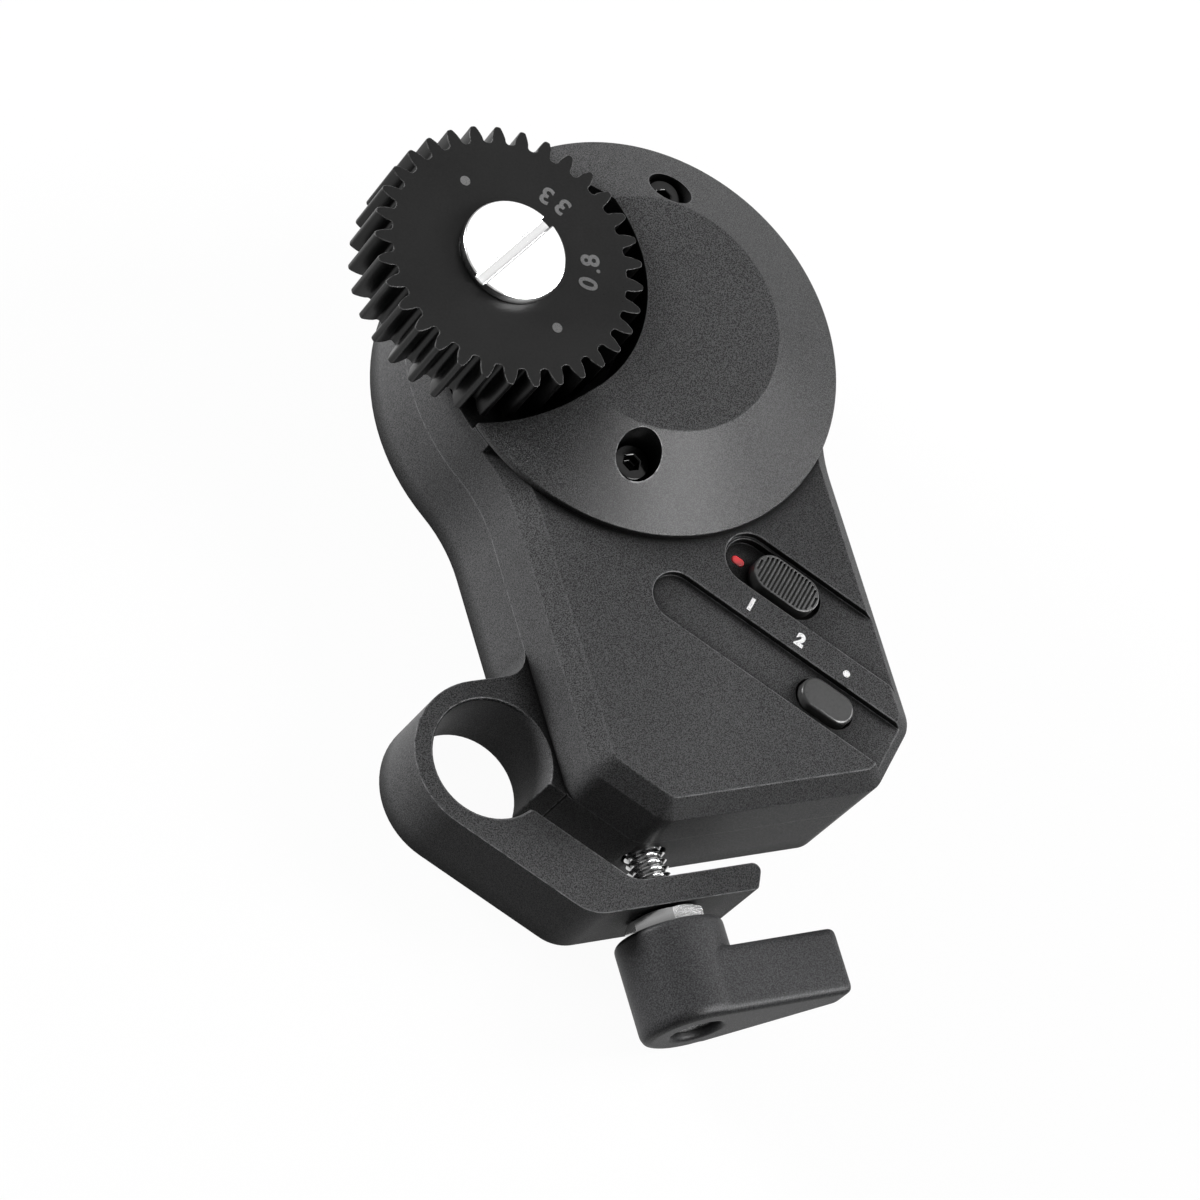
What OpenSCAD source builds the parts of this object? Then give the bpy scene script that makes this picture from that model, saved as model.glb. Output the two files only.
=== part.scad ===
// Focus and zoom servo: a lens motor that clamps on a 12 mm rod.
// Origin on the rod's axis at the back plane. +Z points out of the front, +Y along the body to
// the round cap, +X to the right when the front is looked at.

/* [Housing] */
// Width across the two side walls
body_w = 35.4; // [34:0.2:38]
// From the rod's axis to the middle of the body
cap_x = 24.35; // [24.3:0.05:26]
// From the rod's axis up to the middle of the round end
cap_y = 38.25; // [37:0.25:42]
// From the middle of the round end down to the bottom wall
body_drop = 48.95; // [47:0.25:53]
// Radius of the round end
barrel_r = 21.5; // [21.5:0.1:23]
// Radius of the hollow blend between side wall and round end
neck_r = 16; // [6:1:20]
// Size of the 45 degree corners at the bottom
corner = 5.9; // [3:0.1:8]
// Radius that rounds the corners of the lower end
corner_r = 3; // [2.5:0.25:4]
// Height of the front plate above the back plane
plate_z = 17.05; // [17.05:0.05:19]
// Chamfer along the front plate's edges
edge_chamfer = 1.75; // [0.5:0.25:2]
// Height of the joint between the rear and front housing
split_z = 9.3; // [9.2:0.1:10]
// Thickness of the side walls
wall_t = 1.8; // [1.4:0.1:2]
// Thickness of the back wall
floor_t = 1.8; // [1.4:0.1:1.9]
// Thickness of the front plate
plate_t = 2.65; // [2.5:0.05:2.8]
// Radius of the posts that the case screws go through
post_r = 2.6; // [2.4:0.1:2.7]

/* [Motor cap] */
// Radius of the flat on top of the cone
flat_r = 12.7; // [10:0.1:14]
// Height of the upright rim under the cone
rim_h = 0.85; // [0.5:0.05:1.5]
// Height of the cone above the rim
cone_h = 5.2; // [5:0.1:7]
// Wall of the hollow cap
cap_wall = 1.5; // [1.2:0.1:1.7]
// Distance of the two cap screws from the cap's middle
cap_screw_reach = 15.25; // [14.5:0.25:16]
// Radius of the round recess over each cap screw
recess_r = 2.5; // [2.3:0.1:2.8]
// Depth of the screw seat below the top of the cone
recess_depth = 5.2; // [4.8:0.1:5.3]

/* [Drive gear] */
// Teeth of the drive gear
teeth = 33; // [30:1:35]
// Module of the drive gear
gear_module = 0.8; // [0.7:0.05:0.8]
// Width of the drive gear
gear_w = 7.1; // [6:0.1:9]
// Sideways place of the gear's axis from the cap's middle
gear_dx = -15.2; // [-15.3:0.05:-14.8]
// Upward place of the gear's axis from the cap's middle
gear_dy = 6.85; // [6.5:0.05:7]
// Room around the gear in its pocket
pocket_gap = 1.05; // [0.8:0.05:1.5]
// How far the pocket sinks below the front plate
pocket_sink = 0.65; // [0.4:0.05:0.8]
// Room between the pocket's floor and the gear
gear_lift = 1.05; // [0.6:0.05:2]
// Turn of the gear at rest, to one tooth's middle
gear_turn = 78.4; // [0:0.1:360]
// Radius of the slotted screw's head
gear_screw_r = 5.3; // [4:0.1:7]
// Thickness of the slotted screw's head
gear_screw_t = 1.2; // [1:0.1:2]
// Width of the screwdriver slot
slot_w = 1.1; // [0.8:0.1:1.6]
// Depth of the screwdriver slot
slot_depth = 0.6; // [0.4:0.1:0.8]
// Turn of the screwdriver slot
slot_turn = 31; // [0:1:180]

/* [Gearbox] */
// Radius of the output shaft in its upper bearing
shaft_r = 2; // [1.9:0.05:2.05]
// Radius of the output shaft's lower end
shaft_foot_r = 1.5; // [1.4:0.05:1.6]
// Outer radius of the upper bearing
bearing_r = 3.5; // [3.4:0.05:3.6]
// Width of the upper bearing
bearing_w = 2.5; // [2:0.1:2.6]
// Outer radius of the lower bearing
small_bearing_r = 3; // [2.9:0.05:3.05]
// Width of the lower bearing
small_bearing_w = 2; // [1.8:0.1:2.1]
// Module of the three slower gear pairs' teeth
fine_module = 0.5; // [0.48:0.01:0.5]
// Module of the motor pinion and the gear it drives
motor_module = 0.4; // [0.38:0.01:0.41]
// Teeth of the gear on the output shaft
out_teeth = 12; // [11:1:12]
// Teeth of every small pinion
pinion_teeth = 10; // [10:1:11]
// Teeth of the second reduction wheel
wheel_b_teeth = 30; // [28:1:30]
// Teeth of the first reduction wheel
wheel_a_teeth = 40; // [38:1:40]
// Play between meshing teeth, at the pitch circle
backlash = 0.12; // [0.1:0.01:0.15]
// Radius of the pins the reduction gears turn on
pin_r = 0.75; // [0.6:0.05:0.8]
// Height of the gearbox plate above the back plane
gear_plate_z = 7.6; // [7.6:0.05:8]
// Thickness of the gearbox plate
gear_plate_t = 1.2; // [1:0.1:1.3]
// Radius of the motor can
motor_r = 8.5; // [7.5:0.1:8.6]
// Height of the motor can
motor_h = 9.6; // [8:0.1:9.8]
// Sideways place of the motor's axis from the cap's middle
motor_dx = 7.7; // [7.7:0.05:7.9]
// Upward place of the motor's axis from the cap's middle
motor_dy = -3.5; // [-3.6:0.05:-3.4]
// Radius of the motor's shaft
rotor_r = 0.75; // [0.6:0.05:0.8]

/* [Rod clamp] */
// Diameter of the rod that the clamp takes
rod_d = 12; // [10:0.5:12]
// Room between the rod and the open clamp, on the radius
rod_gap = 0.05; // [0.02:0.01:0.1]
// Wall of the clamp's ring
ring_wall = 1.95; // [1.8:0.05:2.1]
// Width of the clamp's slit
slit_w = 3.45; // [3:0.05:4]
// Thickness of the clamp's arm beside the body's bottom
arm_t = 2.7; // [2.2:0.1:4]
// Length of the arm's straight end, from the body's corner
arm_reach = 12.7; // [8:0.1:20]
// Small chamfer at the front of the bore
bore_chamfer = 0.2; // [0.1:0.05:0.4]
// Radius of the hollow blend between ring and side wall
ring_blend_r = 2.5; // [1:0.1:4]

/* [Clamp screw and lever] */
// Radius of the clamp screw's thread
stud_r = 2; // [1.5:0.1:2]
// Pitch of the thread
thread_pitch = 0.7; // [0.5:0.05:1]
// Sideways place of the clamp screw from the body's left wall
stud_dx = 8.15; // [8.1:0.05:10]
// Height of the clamp screw above the back plane
stud_z = 5.6; // [5.5:0.05:5.65]
// Width across the flats of the hexagonal collar
hex_af = 7; // [6:0.25:7]
// Turn of the hexagon about the screw's axis
hex_turn = 12; // [0:1:59]
// Length of the collar that shows between arm and lever
hex_show = 1.85; // [1.2:0.05:3]
// Length of the hexagon inside the lever
hex_grip = 2.5; // [2:0.1:3]
// Radius of the lever's hub
hub_r = 5.45; // [5.2:0.05:5.5]
// Length of the lever's hub
hub_l = 10.1; // [9.5:0.1:13]
// Reach of the lever from the screw's axis
lever_reach = 15.1; // [10:0.1:25]
// Width of the lever's handle along the screw's axis
lever_w = 6.7; // [4:0.1:7.5]
// Thickness of the lever's tip
lever_tip = 3.9; // [3:0.1:5]
// How far the lever pulls out to clear the hexagon
lever_pull = 2.5; // [2:0.1:2.5]
// Wire diameter of the lever's spring
spring_wire = 0.4; // [0.3:0.05:0.45]
// Turns of the lever's spring
spring_turns = 3.5; // [2:0.5:3.5]
// Radius of the threaded insert in the body's bottom
insert_r = 3; // [2.8:0.1:3.1]
// Length of the threaded insert
insert_l = 5; // [4:0.1:5]

/* [Screws] */
// Radius of the thread of the cap, case and plate screws
screw_r = 1; // [0.9:0.05:1]
// Radius of the heads of the cap and case screws
screw_head_r = 1.9; // [1.7:0.05:1.95]
// Height of the heads of the cap screws
screw_head_h = 1.9; // [1.5:0.1:2.2]
// Depth of the holes for the case screws' heads in the back
case_head_sink = 2; // [1.7:0.1:2.2]
// Radius of the hexagon sockets, to their corners
key_r = 0.85; // [0.7:0.05:0.9]

/* [Controls] */
// Direction in which the two lanes run across the plate
lane_turn = -45; // [-50:1:-40]
// Sideways place of the switch lane's round end from the cap's middle
switch_dx = 5.1; // [4:0.1:6]
// Downward place of the switch lane's round end from the cap's middle
switch_dy = -24.3; // [-25:0.1:-24]
// Width of the switch lane
switch_lane_w = 5.55; // [5.3:0.05:5.8]
// Sideways place of the button lane's round end from the cap's middle
button_dx = -4.15; // [-5:0.05:-4]
// Downward place of the button lane's round end from the cap's middle
button_dy = -27.15; // [-28:0.05:-27]
// Width of the button lane
button_lane_w = 5.15; // [5:0.05:5.4]
// Depth of both lanes
lane_depth = 0.7; // [0.4:0.05:0.9]
// Depth of the well under the switch knob, below the lane
well_depth = 0.9; // [0.6:0.05:0.9]
// Length of the switch knob
knob_l = 7.4; // [6:0.1:7.5]
// Width of the switch knob
knob_w = 3.95; // [3.4:0.05:4.1]
// Height of the switch knob above the plate
knob_h = 0.15; // [0.1:0.05:1.5]
// Place of the knob's middle along its lane
knob_at = 4.2; // [4:0.1:5]
// Travel of the switch knob
knob_travel = 2.5; // [1.5:0.1:2.5]
// Ribs across the switch knob
knob_ribs = 15; // [9:1:17]
// Length of the push button
button_l = 5.9; // [4.5:0.1:6]
// Width of the push button
button_w = 3.3; // [3:0.1:3.7]
// Height of the push button above the plate
button_h = 0.25; // [0.1:0.05:1]
// Place of the button's middle along its lane
button_at = 17.85; // [17:0.05:18.5]
// Travel of the push button
button_travel = 0.5; // [0.3:0.05:0.6]

/* [Board] */
// Height of the circuit board's underside
board_z = 8; // [7.8:0.1:8.1]
// Thickness of the circuit board
board_t = 1; // [0.8:0.1:1.2]
// Upward place of the USB socket from midway between the board's two right-hand screws
usb_dy = 0; // [-1:0.1:1]

/* [Hidden] */
$fn = 96;
black = [0.16, 0.16, 0.17];
steel = [0.75, 0.76, 0.78];
over = 1;
fit = 0.02;
slack = 0.05;
touch_gap = 0.2;

body_left = cap_x - body_w / 2;
body_right = cap_x + body_w / 2;
body_bottom = cap_y - body_drop;
cap_mid = [cap_x, cap_y];
corner_run = corner_r * tan(22.5);
corner_mids = [for (p = [[-1, 1], [-1, 0], [1, 0], [1, 1]]) p[1] == 1
    ? [p[0] * (body_w / 2 - corner_r), corner - body_drop + corner_run]
    : [p[0] * (body_w / 2 - corner - corner_run), corner_r - body_drop]];
neck_mid = [body_w / 2 + neck_r, -sqrt(pow(barrel_r + neck_r, 2) - pow(body_w / 2 + neck_r, 2))];
ceiling_z = plate_z - plate_t;
rim_z = plate_z + rim_h;
flat_z = rim_z + cone_h;

gear_mid = [cap_x + gear_dx, cap_y + gear_dy];
gear_tip_r = gear_module * (teeth + 2) / 2;
pocket_r = gear_tip_r + pocket_gap;
pocket_z = plate_z - pocket_sink;
gear_z = pocket_z + gear_lift;
gear_top_z = gear_z + gear_w;

motor_mid = [cap_x + motor_dx, cap_y + motor_dy];
train = motor_mid - gear_mid;
train_turn = atan2(train.y, train.x);
reach_gb = fine_module * (out_teeth + pinion_teeth) / 2;
reach_ba = fine_module * (wheel_b_teeth + pinion_teeth) / 2;
reach_am = motor_module * (wheel_a_teeth + pinion_teeth) / 2;
wheel_b_mid = gear_mid + polar(reach_gb, train_turn);
rest = norm(train) - reach_gb;
turn_ba = train_turn + acos((pow(rest, 2) + pow(reach_ba, 2) - pow(reach_am, 2)) / (2 * rest * reach_ba));
wheel_a_mid = wheel_b_mid + polar(reach_ba, turn_ba);
turn_am = atan2(motor_mid.y - wheel_a_mid.y, motor_mid.x - wheel_a_mid.x);

level_gap = 0.4;
level_t = 1.4;
press_out = 20;
press_fine = 25;
rib_share = 0.45;
level_1 = floor_t + level_gap;
level_2 = level_1 + level_t + level_gap;
level_3 = level_2 + level_t + level_gap;
shaft_foot_z = level_3 - touch_gap;
hub_z = floor_t + 0.15;
hub_top_z = gear_plate_z - 0.1;
gear_hub_r = 1.3;
pin_seat = 1;
plate_top_z = gear_plate_z + gear_plate_t;
lower_lip = 0.6;
lower_bearing_z = gear_plate_z + lower_lip;
lower_bearing_top = lower_bearing_z + small_bearing_w;
collar_wall = 0.6;
relief_r = small_bearing_r + collar_wall + 0.15;
upper_bearing_z = pocket_z - 1.4 - bearing_w;
upper_bearing_top = upper_bearing_z + bearing_w;
gear_boss_r = shaft_r + 0.6;
gear_bolt_r = 1.2;
gear_bolt_l = 6;

bore_r = rod_d / 2 + rod_gap;
ring_r = bore_r + ring_wall;
slit_hi = (body_left + body_bottom + corner) / sqrt(2);
slit_lo = slit_hi - slit_w;
slit_step = 0.05;
arm_in_y = body_bottom - slit_w;
arm_out_y = arm_in_y - arm_t;
arm_end_x = body_left + corner + arm_reach - 0.1;
arm_tip_slant = 1.3;
knee_in_r = 3;
knee_out_r = 4.5;

stud_x = body_left + stud_dx;
hex_y = arm_out_y - slack;
lever_y = arm_out_y - hex_show;
lever_end_y = lever_y - hub_l;
hex_end_y = lever_y - hex_grip;
web_y = hex_end_y - 0.3;
web_t = 1.2;
shank_r = 1.5;
spring_room_r = 2.5;
spring_y = web_y - web_t;
lever_screw_t = 1;
lever_screw_r = 2.3;
lever_screw_y = lever_end_y + 0.8 + lever_screw_t;
insert_y = body_bottom + 1.4;
thread_depth = 0.4;
thread_start_y = insert_y + insert_l - 0.4;

lane_dir = polar(1, lane_turn);
switch_end = cap_mid + [switch_dx, switch_dy];
button_end = cap_mid + [button_dx, button_dy];
lane_z = plate_z - lane_depth;
well_z = lane_z - well_depth;
knob_mid = switch_end + knob_at * lane_dir;
button_mid = button_end + button_at * lane_dir;
well_side = 0.5;
well_end = 0.45;
stem_l = 1.8;
stem_w = 1.4;
stem_z = ceiling_z - 0.8;
slider_mid = knob_mid - knob_travel / 2 * lane_dir;
board_top_z = board_z + board_t;
switch_h = 3.8;
tact_h = 2.4;
plunger_top_z = board_top_z + tact_h + 1.2;
button_lip = 0.6;
button_gap = 0.2;
switch_l = 8.6;
switch_w = 4.4;
slider_l = 2.4;
slider_w = 1.8;
slider_pin_l = 0.9;
slider_pin_w = 0.7;
tact_w = 3.6;
rib_depth = 0.25;

cap_screw_turn = atan2(gear_dy, gear_dx) - 90;
cap_screw_spots = [for (s = [-1, 1]) cap_mid + polar(s * cap_screw_reach, cap_screw_turn)];
cap_seat_z = flat_z - recess_depth;
cap_screw_l = 5.5;
case_screw_l = split_z - case_head_sink + 4.3;
screw_play = 0.1;
small_screw_r = 0.8;
motor_screw_l = 2.2;
motor_screw_circle = 5.2;
motor_boss_r = 2.5;
case_inset = 3.45;
top_post_y = cap_y + neck_mid.y - 2.75;
case_screw_spots = [[body_left + case_inset, body_bottom + corner + 3.8],
    [body_right - case_inset - 0.3, body_bottom + corner - 0.5], [body_left + case_inset, top_post_y],
    [body_right - case_inset, top_post_y]];
plate_post_reach = barrel_r - wall_t - 2.7;
plate_post_spots = [for (a = [60, 215, 285]) cap_mid + polar(plate_post_reach, a)];
motor_screw_spots = [for (s = [-1, 1]) motor_mid + polar(s * motor_screw_circle, 40)];
board_left = body_left + 6.15;
board_right = body_right - wall_t - 0.35;
board_top = top_post_y - post_r - 0.4;
board_bottom = insert_y + insert_l + 0.4;
board_notch = case_screw_spots[1] + [-post_r - 0.2, post_r + 0.25];
board_hole_in = 1.8;
board_screw_spots = [[board_left + board_hole_in, board_top - board_hole_in],
    [board_right - board_hole_in, board_top - board_hole_in],
    [board_left + board_hole_in, board_bottom + board_hole_in],
    [board_right - board_hole_in, board_notch.y + board_hole_in]];
usb_w = 9;
usb_h = 3.2;
usb_l = 7.4;
usb_wall = 0.35;
tongue_w = 6.6;
tongue_t = 0.7;
usb_z = board_z - usb_h / 2;
usb_y = (board_screw_spots[1].y + board_screw_spots[3].y) / 2 + usb_dy;
chip_w = 5;
small_chip_w = 4;
strip_w = 0.8;
strip_l = 1.6;
chip_clear = 1.2;
chip_h = 0.9;

// Point at a distance and angle from the origin.
function polar(r, a) = r * [cos(a), sin(a)];
// Involute of an angle, in degrees.
function inv(a) = tan(a) * 180 / PI - a;
// Half of a tooth's angle at radius r, on a gear of n teeth.
function tooth_half(r, n, m, press, play) =
    let (pitch = n * m / 2, base = pitch * cos(press), rr = max(r, base))
    (PI * m / 2 - play / 2) / pitch * 90 / PI + inv(press) - inv(acos(base / rr));
// Outline of a spur gear whose first tooth is centred at the angle turn.
function gear_outline(n, m, press, add, ded, play, turn) =
    let (pitch = n * m / 2, base = pitch * cos(press), low = max(pitch - ded * m, 0.1),
        high = pitch + add * m, from = max(base, low), steps = 4)
    [for (i = [0:n - 1], side = [-1, 1], k = [0:steps + 1])
        let (j = side < 0 ? k : steps + 1 - k, r = j == 0 ? low : from + (high - from) * (j - 1) / steps)
        polar(r, turn + 360 * i / n + side * tooth_half(r, n, m, press, play))];
// Angle of a tooth on the gear that meshes, in the direction dir, with a gear of n1 teeth at angle t1.
function meshed(t1, n1, n2, dir) = dir + 180 + (dir - t1) * n1 / n2 + 180 / n2;
// Corner b between a and c as an arc of radius r.
function arc_corner(a, b, c, r) =
    let (u = (a - b) / norm(a - b), v = (c - b) / norm(c - b), half = acos(u * v) / 2,
        mid = b + (u + v) / norm(u + v) * r / sin(half), p = b + u * r / tan(half) - mid,
        q = b + v * r / tan(half) - mid, from = atan2(p.y, p.x), d = atan2(q.y, q.x) - from,
        sweep = d > 180 ? d - 360 : d < -180 ? d + 360 : d, steps = 10)
    [for (i = [0:steps]) mid + polar(r, from + sweep * i / steps)];
// Outline whose corners have the radii given; 0 keeps a sharp corner.
function rounded(pts, radii) = [for (i = [0:len(pts) - 1]) let (n = len(pts))
    each radii[i] == 0 ? [pts[i]] : arc_corner(pts[(i + n - 1) % n], pts[i], pts[(i + 1) % n], radii[i])];
// Point in the clamp's arm: off across the slit's direction, along it from the rod's axis.
function slit_point(off, along) = (off * [1, 1] + along * [1, -1]) / sqrt(2);

// Cylinder at a point of the plan, between two heights.
module post(at, r, z0, z1) {
    translate([at.x, at.y, z0]) cylinder(h = z1 - z0, r = r);
}

// Cylinder about the clamp screw's axis, from y0 down to y1.
module stud_post(r, y0, y1) {
    translate([stud_x, y0, stud_z]) rotate([90, 0, 0]) cylinder(h = y0 - y1, r = r);
}

// Hexagonal bar about the clamp screw's axis.
module stud_hex(af, y0, y1) {
    translate([stud_x, y0, stud_z]) rotate([90, 0, 0]) rotate([0, 0, hex_turn])
        cylinder(h = y0 - y1, r = af / 2 / cos(30), $fn = 6);
}

// Children placed at a point of the plan and turned to the lanes' direction.
module along_lane(at, z0) {
    translate([at.x, at.y, z0]) rotate([0, 0, lane_turn]) children();
}

// Bar with one round end at the point end, running along the lanes' direction.
module lane(end, width, reach, z0, z1) {
    along_lane(end, z0) {
        cylinder(h = z1 - z0, r = width / 2);
        translate([0, -width / 2, 0]) cube([reach, width, z1 - z0]);
    }
}

// Bar with two round ends, centred on mid and lying along the lanes' direction.
module pill(mid, length, width, z0, z1) {
    half = (length - width) / 2;
    along_lane(mid, z0) {
        for (s = [-1, 1]) translate([s * half, 0, 0]) cylinder(h = z1 - z0, r = width / 2);
        translate([-half, -width / 2, 0]) cube([2 * half, width, z1 - z0]);
    }
}

// Block centred on mid, lying along the lanes' direction.
module lane_block(mid, length, width, z0, z1) {
    along_lane(mid, z0) translate([-length / 2, -width / 2, 0]) cube([length, width, z1 - z0]);
}

// The housing's plan as a solid, with every wall moved in by inset and the corners from first on rounded.
// They count from the left wall round to the right one; the clamp's root covers the first in the rear half.
module housing_form(inset, z0, z1, first = 0) {
    half = body_w / 2 - inset;
    low = inset - body_drop;
    cut = corner + inset * (sqrt(2) - 2);
    r = corner_r - inset;
    meet = neck_mid * (barrel_r - inset) / (barrel_r + neck_r);
    translate([cap_x, cap_y, z0]) {
        linear_extrude(z1 - z0) polygon([[0, 0], [-half, neck_mid.y], if (first > 0) [-half, low + cut],
            for (i = [first:3], turn = [180, 225]) corner_mids[i] + polar(r, turn + 45 * i),
            [half, neck_mid.y]]);
        cylinder(h = z1 - z0, r = barrel_r - inset);
        for (i = [first:3]) translate(corner_mids[i]) cylinder(h = z1 - z0, r = r);
        for (s = [-1, 1]) difference() {
            linear_extrude(z1 - z0) polygon([[0, neck_mid.y], [s * neck_mid.x, neck_mid.y],
                [s * meet.x, meet.y], [0, 0]]);
            translate([s * neck_mid.x, neck_mid.y, -over])
                cylinder(h = z1 - z0 + 2 * over, r = neck_r + inset);
        }
    }
}

// Wedge that chamfers the plate's edge along the wall from p to q, with room past each end.
module edge_wedge(p, q, lead, tail) {
    run = q - p;
    size = edge_chamfer + over;
    translate([p.x, p.y, plate_z]) rotate([0, 0, atan2(run.y, run.x)]) translate([-lead, 0, 0])
        rotate([90, 0, 90]) linear_extrude(norm(run) + lead + tail)
            polygon([[-over, -size], [-over, over], [size, over]]);
}

// Cone that carries the chamfer round the corner i.
module corner_wedge(i) {
    c = edge_chamfer;
    from = 180 + 45 * i;
    skim = 0.1;
    far = corner_r + over;
    translate([cap_x, cap_y, plate_z - c]) translate(corner_mids[i]) difference() {
        linear_extrude(c + skim)
            polygon([[0, 0], polar(far, from), polar(far / cos(22.5), from + 22.5), polar(far, from + 45)]);
        translate([0, 0, -skim])
            cylinder(h = c + 3 * skim, r1 = corner_r + skim, r2 = corner_r - c - 2 * skim);
    }
}

// Everything that chamfers the front plate: five straight walls, four corners and the two hollow blends.
module plate_chamfers() {
    neck_y = cap_y + neck_mid.y;
    low = body_bottom + corner;
    c = edge_chamfer;
    edge_wedge([body_left, neck_y], [body_left, low], 0, c);
    edge_wedge([body_left, low], [body_left + corner, body_bottom], c, c);
    edge_wedge([body_left + corner, body_bottom], [body_right - corner, body_bottom], c, c);
    edge_wedge([body_right - corner, body_bottom], [body_right, low], c, c);
    edge_wedge([body_right, low], [body_right, neck_y], c, 0);
    for (i = [0:3]) corner_wedge(i);
    for (s = [-1, 1]) intersection() {
        translate([cap_x + s * neck_mid.x, neck_y, plate_z - c])
            cylinder(h = c + over, r1 = neck_r, r2 = neck_r + c + over);
        translate([cap_x - body_w, neck_y - c, plate_z - c - over])
            cube([2 * body_w, c - neck_mid.y * neck_r / (barrel_r + neck_r), c + 3 * over]);
    }
}

// Rear half of the case, with the rod clamp's ring and springy arm in one piece with it.
module rear_housing() {
    color(black) difference() {
        union() {
            difference() {
                housing_form(0, 0, split_z, 1);
                housing_form(wall_t, floor_t, split_z + over, 1);
            }
            intersection() {
                housing_form(0, 0, split_z, 1);
                rear_posts();
            }
            clamp_solid();
        }
        post([0, 0], bore_r, -over, split_z + over);
        translate([0, 0, split_z - bore_chamfer])
            cylinder(h = bore_chamfer + over, r1 = bore_r, r2 = bore_r + bore_chamfer + over);
        translate([0, 0, -over]) rotate([0, 0, -45]) translate([0, slit_lo, 0])
            cube([2 * ring_r, slit_w - slit_step, split_z + 2 * over]);
        stud_post(stud_r + 0.2, insert_y + over, arm_out_y - over);
        stud_post(insert_r + fit, insert_y + insert_l + over, insert_y);
        for (p = case_screw_spots) {
            post(p, screw_head_r + 2 * screw_play, -over, case_head_sink);
            post(p, screw_r + screw_play, -over, split_z + over);
        }
        for (p = plate_post_spots) post(p, screw_r + fit, floor_t + 1, split_z);
        for (p = board_screw_spots) post(p, small_screw_r + fit, floor_t + 1, split_z);
        for (p = [wheel_a_mid, wheel_b_mid]) post(p, pin_r + fit, floor_t - pin_seat, split_z);
        post(gear_mid, relief_r, shaft_foot_z - 1, split_z + over);
        usb_mouth(0.2, body_right - wall_t - over, body_right + over);
    }
}

// Posts inside the rear half: case screws, gearbox plate, board, and the boss round the insert.
module rear_posts() {
    for (p = case_screw_spots) post(p, post_r, 0, split_z);
    for (p = plate_post_spots) post(p, 2.2, 0, gear_plate_z);
    for (p = board_screw_spots) post(p, 1.8, 0, board_z);
    stud_post(insert_r + 0.6, insert_y + insert_l + 0.2, body_bottom);
    translate([stud_x - insert_r - 0.6, body_bottom, 0])
        cube([2 * insert_r + 1.2, insert_y + insert_l + 0.2 - body_bottom, stud_z]);
}

// Ring, blend and arm of the clamp, before the bore and the slit are cut.
module clamp_solid() {
    f = ring_blend_r;
    root_x = body_left + wall_t / 2;
    post([0, 0], ring_r, 0, split_z);
    difference() {
        linear_extrude(split_z) polygon([[0, 0], [root_x, 0], [root_x, ring_r + f], [body_left, ring_r + f],
            [body_left - f, ring_r], [0, ring_r]]);
        post([body_left - f, ring_r + f], f, -over, split_z + over);
    }
    knee_in = [slit_lo * sqrt(2) - arm_in_y, arm_in_y];
    knee_out = [-ring_r * sqrt(2) - arm_out_y, arm_out_y];
    linear_extrude(split_z) polygon(rounded([slit_point(slit_lo, 0), knee_in, [arm_end_x, arm_in_y],
        [arm_end_x - arm_tip_slant, arm_out_y], knee_out, slit_point(-ring_r, 0)],
        [0, knee_in_r, 0.8, 0.5, knee_out_r, 0]));
}

// Shape of the USB opening, through the right wall.
module usb_mouth(room, x0, x1) {
    r = usb_h / 2 + room;
    for (s = [-1, 1]) translate([x0, usb_y + s * (usb_w - usb_h) / 2, usb_z]) rotate([0, 90, 0])
        cylinder(h = x1 - x0, r = r);
    translate([x0, usb_y - (usb_w - usb_h) / 2, usb_z - r]) cube([x1 - x0, usb_w - usb_h, 2 * r]);
}

// Front half of the case: chamfered plate, lanes, gear pocket and the upper bearing's seat.
module front_housing() {
    color(black) difference() {
        union() {
            difference() {
                housing_form(0, split_z, plate_z);
                plate_chamfers();
                housing_form(wall_t, split_z - over, ceiling_z);
            }
            intersection() {
                housing_form(0, split_z, ceiling_z + 0.1);
                front_posts();
            }
        }
        post(gear_mid, pocket_r, pocket_z, plate_z + over);
        post(gear_mid, bearing_r + fit, split_z, upper_bearing_top);
        post(gear_mid, relief_r, split_z - over, upper_bearing_z - 0.1);
        post(gear_mid, gear_boss_r + 0.2, split_z, plate_z);
        post(motor_mid, motor_r + 0.3, split_z, plate_z + over);
        for (p = cap_screw_spots) post(p, screw_r + fit, cap_seat_z - cap_screw_l - 0.3, plate_z + over);
        for (p = case_screw_spots)
            post(p, screw_r + fit, split_z - over, case_head_sink + case_screw_l + 0.3);
        lane(switch_end, switch_lane_w, body_w, lane_z, plate_z + over);
        lane(button_end, button_lane_w, body_w, lane_z, plate_z + over);
        pill(slider_mid, knob_l + knob_travel + 2 * well_end, knob_w + 2 * well_side, well_z, plate_z);
        lane_block(slider_mid, stem_l + knob_travel + 0.2, stem_w + 0.2, ceiling_z - over, plate_z);
        pill(button_mid, button_l + 2 * button_gap, button_w + 2 * button_gap, ceiling_z - over, plate_z);
        red_mark_form(fit);
    }
}

// Bosses inside the front half, for the upper bearing, the cap screws and the case screws.
module front_posts() {
    post(gear_mid, bearing_r + 1.2, upper_bearing_z, plate_z);
    for (p = cap_screw_spots) post(p, screw_r + 1.4, cap_seat_z - cap_screw_l - 0.9, plate_z);
    for (p = case_screw_spots) post(p, post_r, split_z, plate_z);
}

// Cone over the motor, hollow inside and cut away round the drive gear.
module motor_cap() {
    color(black) difference() {
        union() {
            difference() {
                cap_form(0, plate_z, 0);
                cap_form(cap_wall, plate_z - over, cap_wall);
            }
            intersection() {
                cap_form(0, plate_z, 0);
                for (p = cap_screw_spots) post(p, recess_r + 1.2, plate_z, flat_z);
            }
        }
        for (p = cap_screw_spots) {
            post(p, recess_r, cap_seat_z, flat_z + over);
            post(p, screw_r + screw_play, plate_z - over, flat_z);
        }
    }
}

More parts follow.
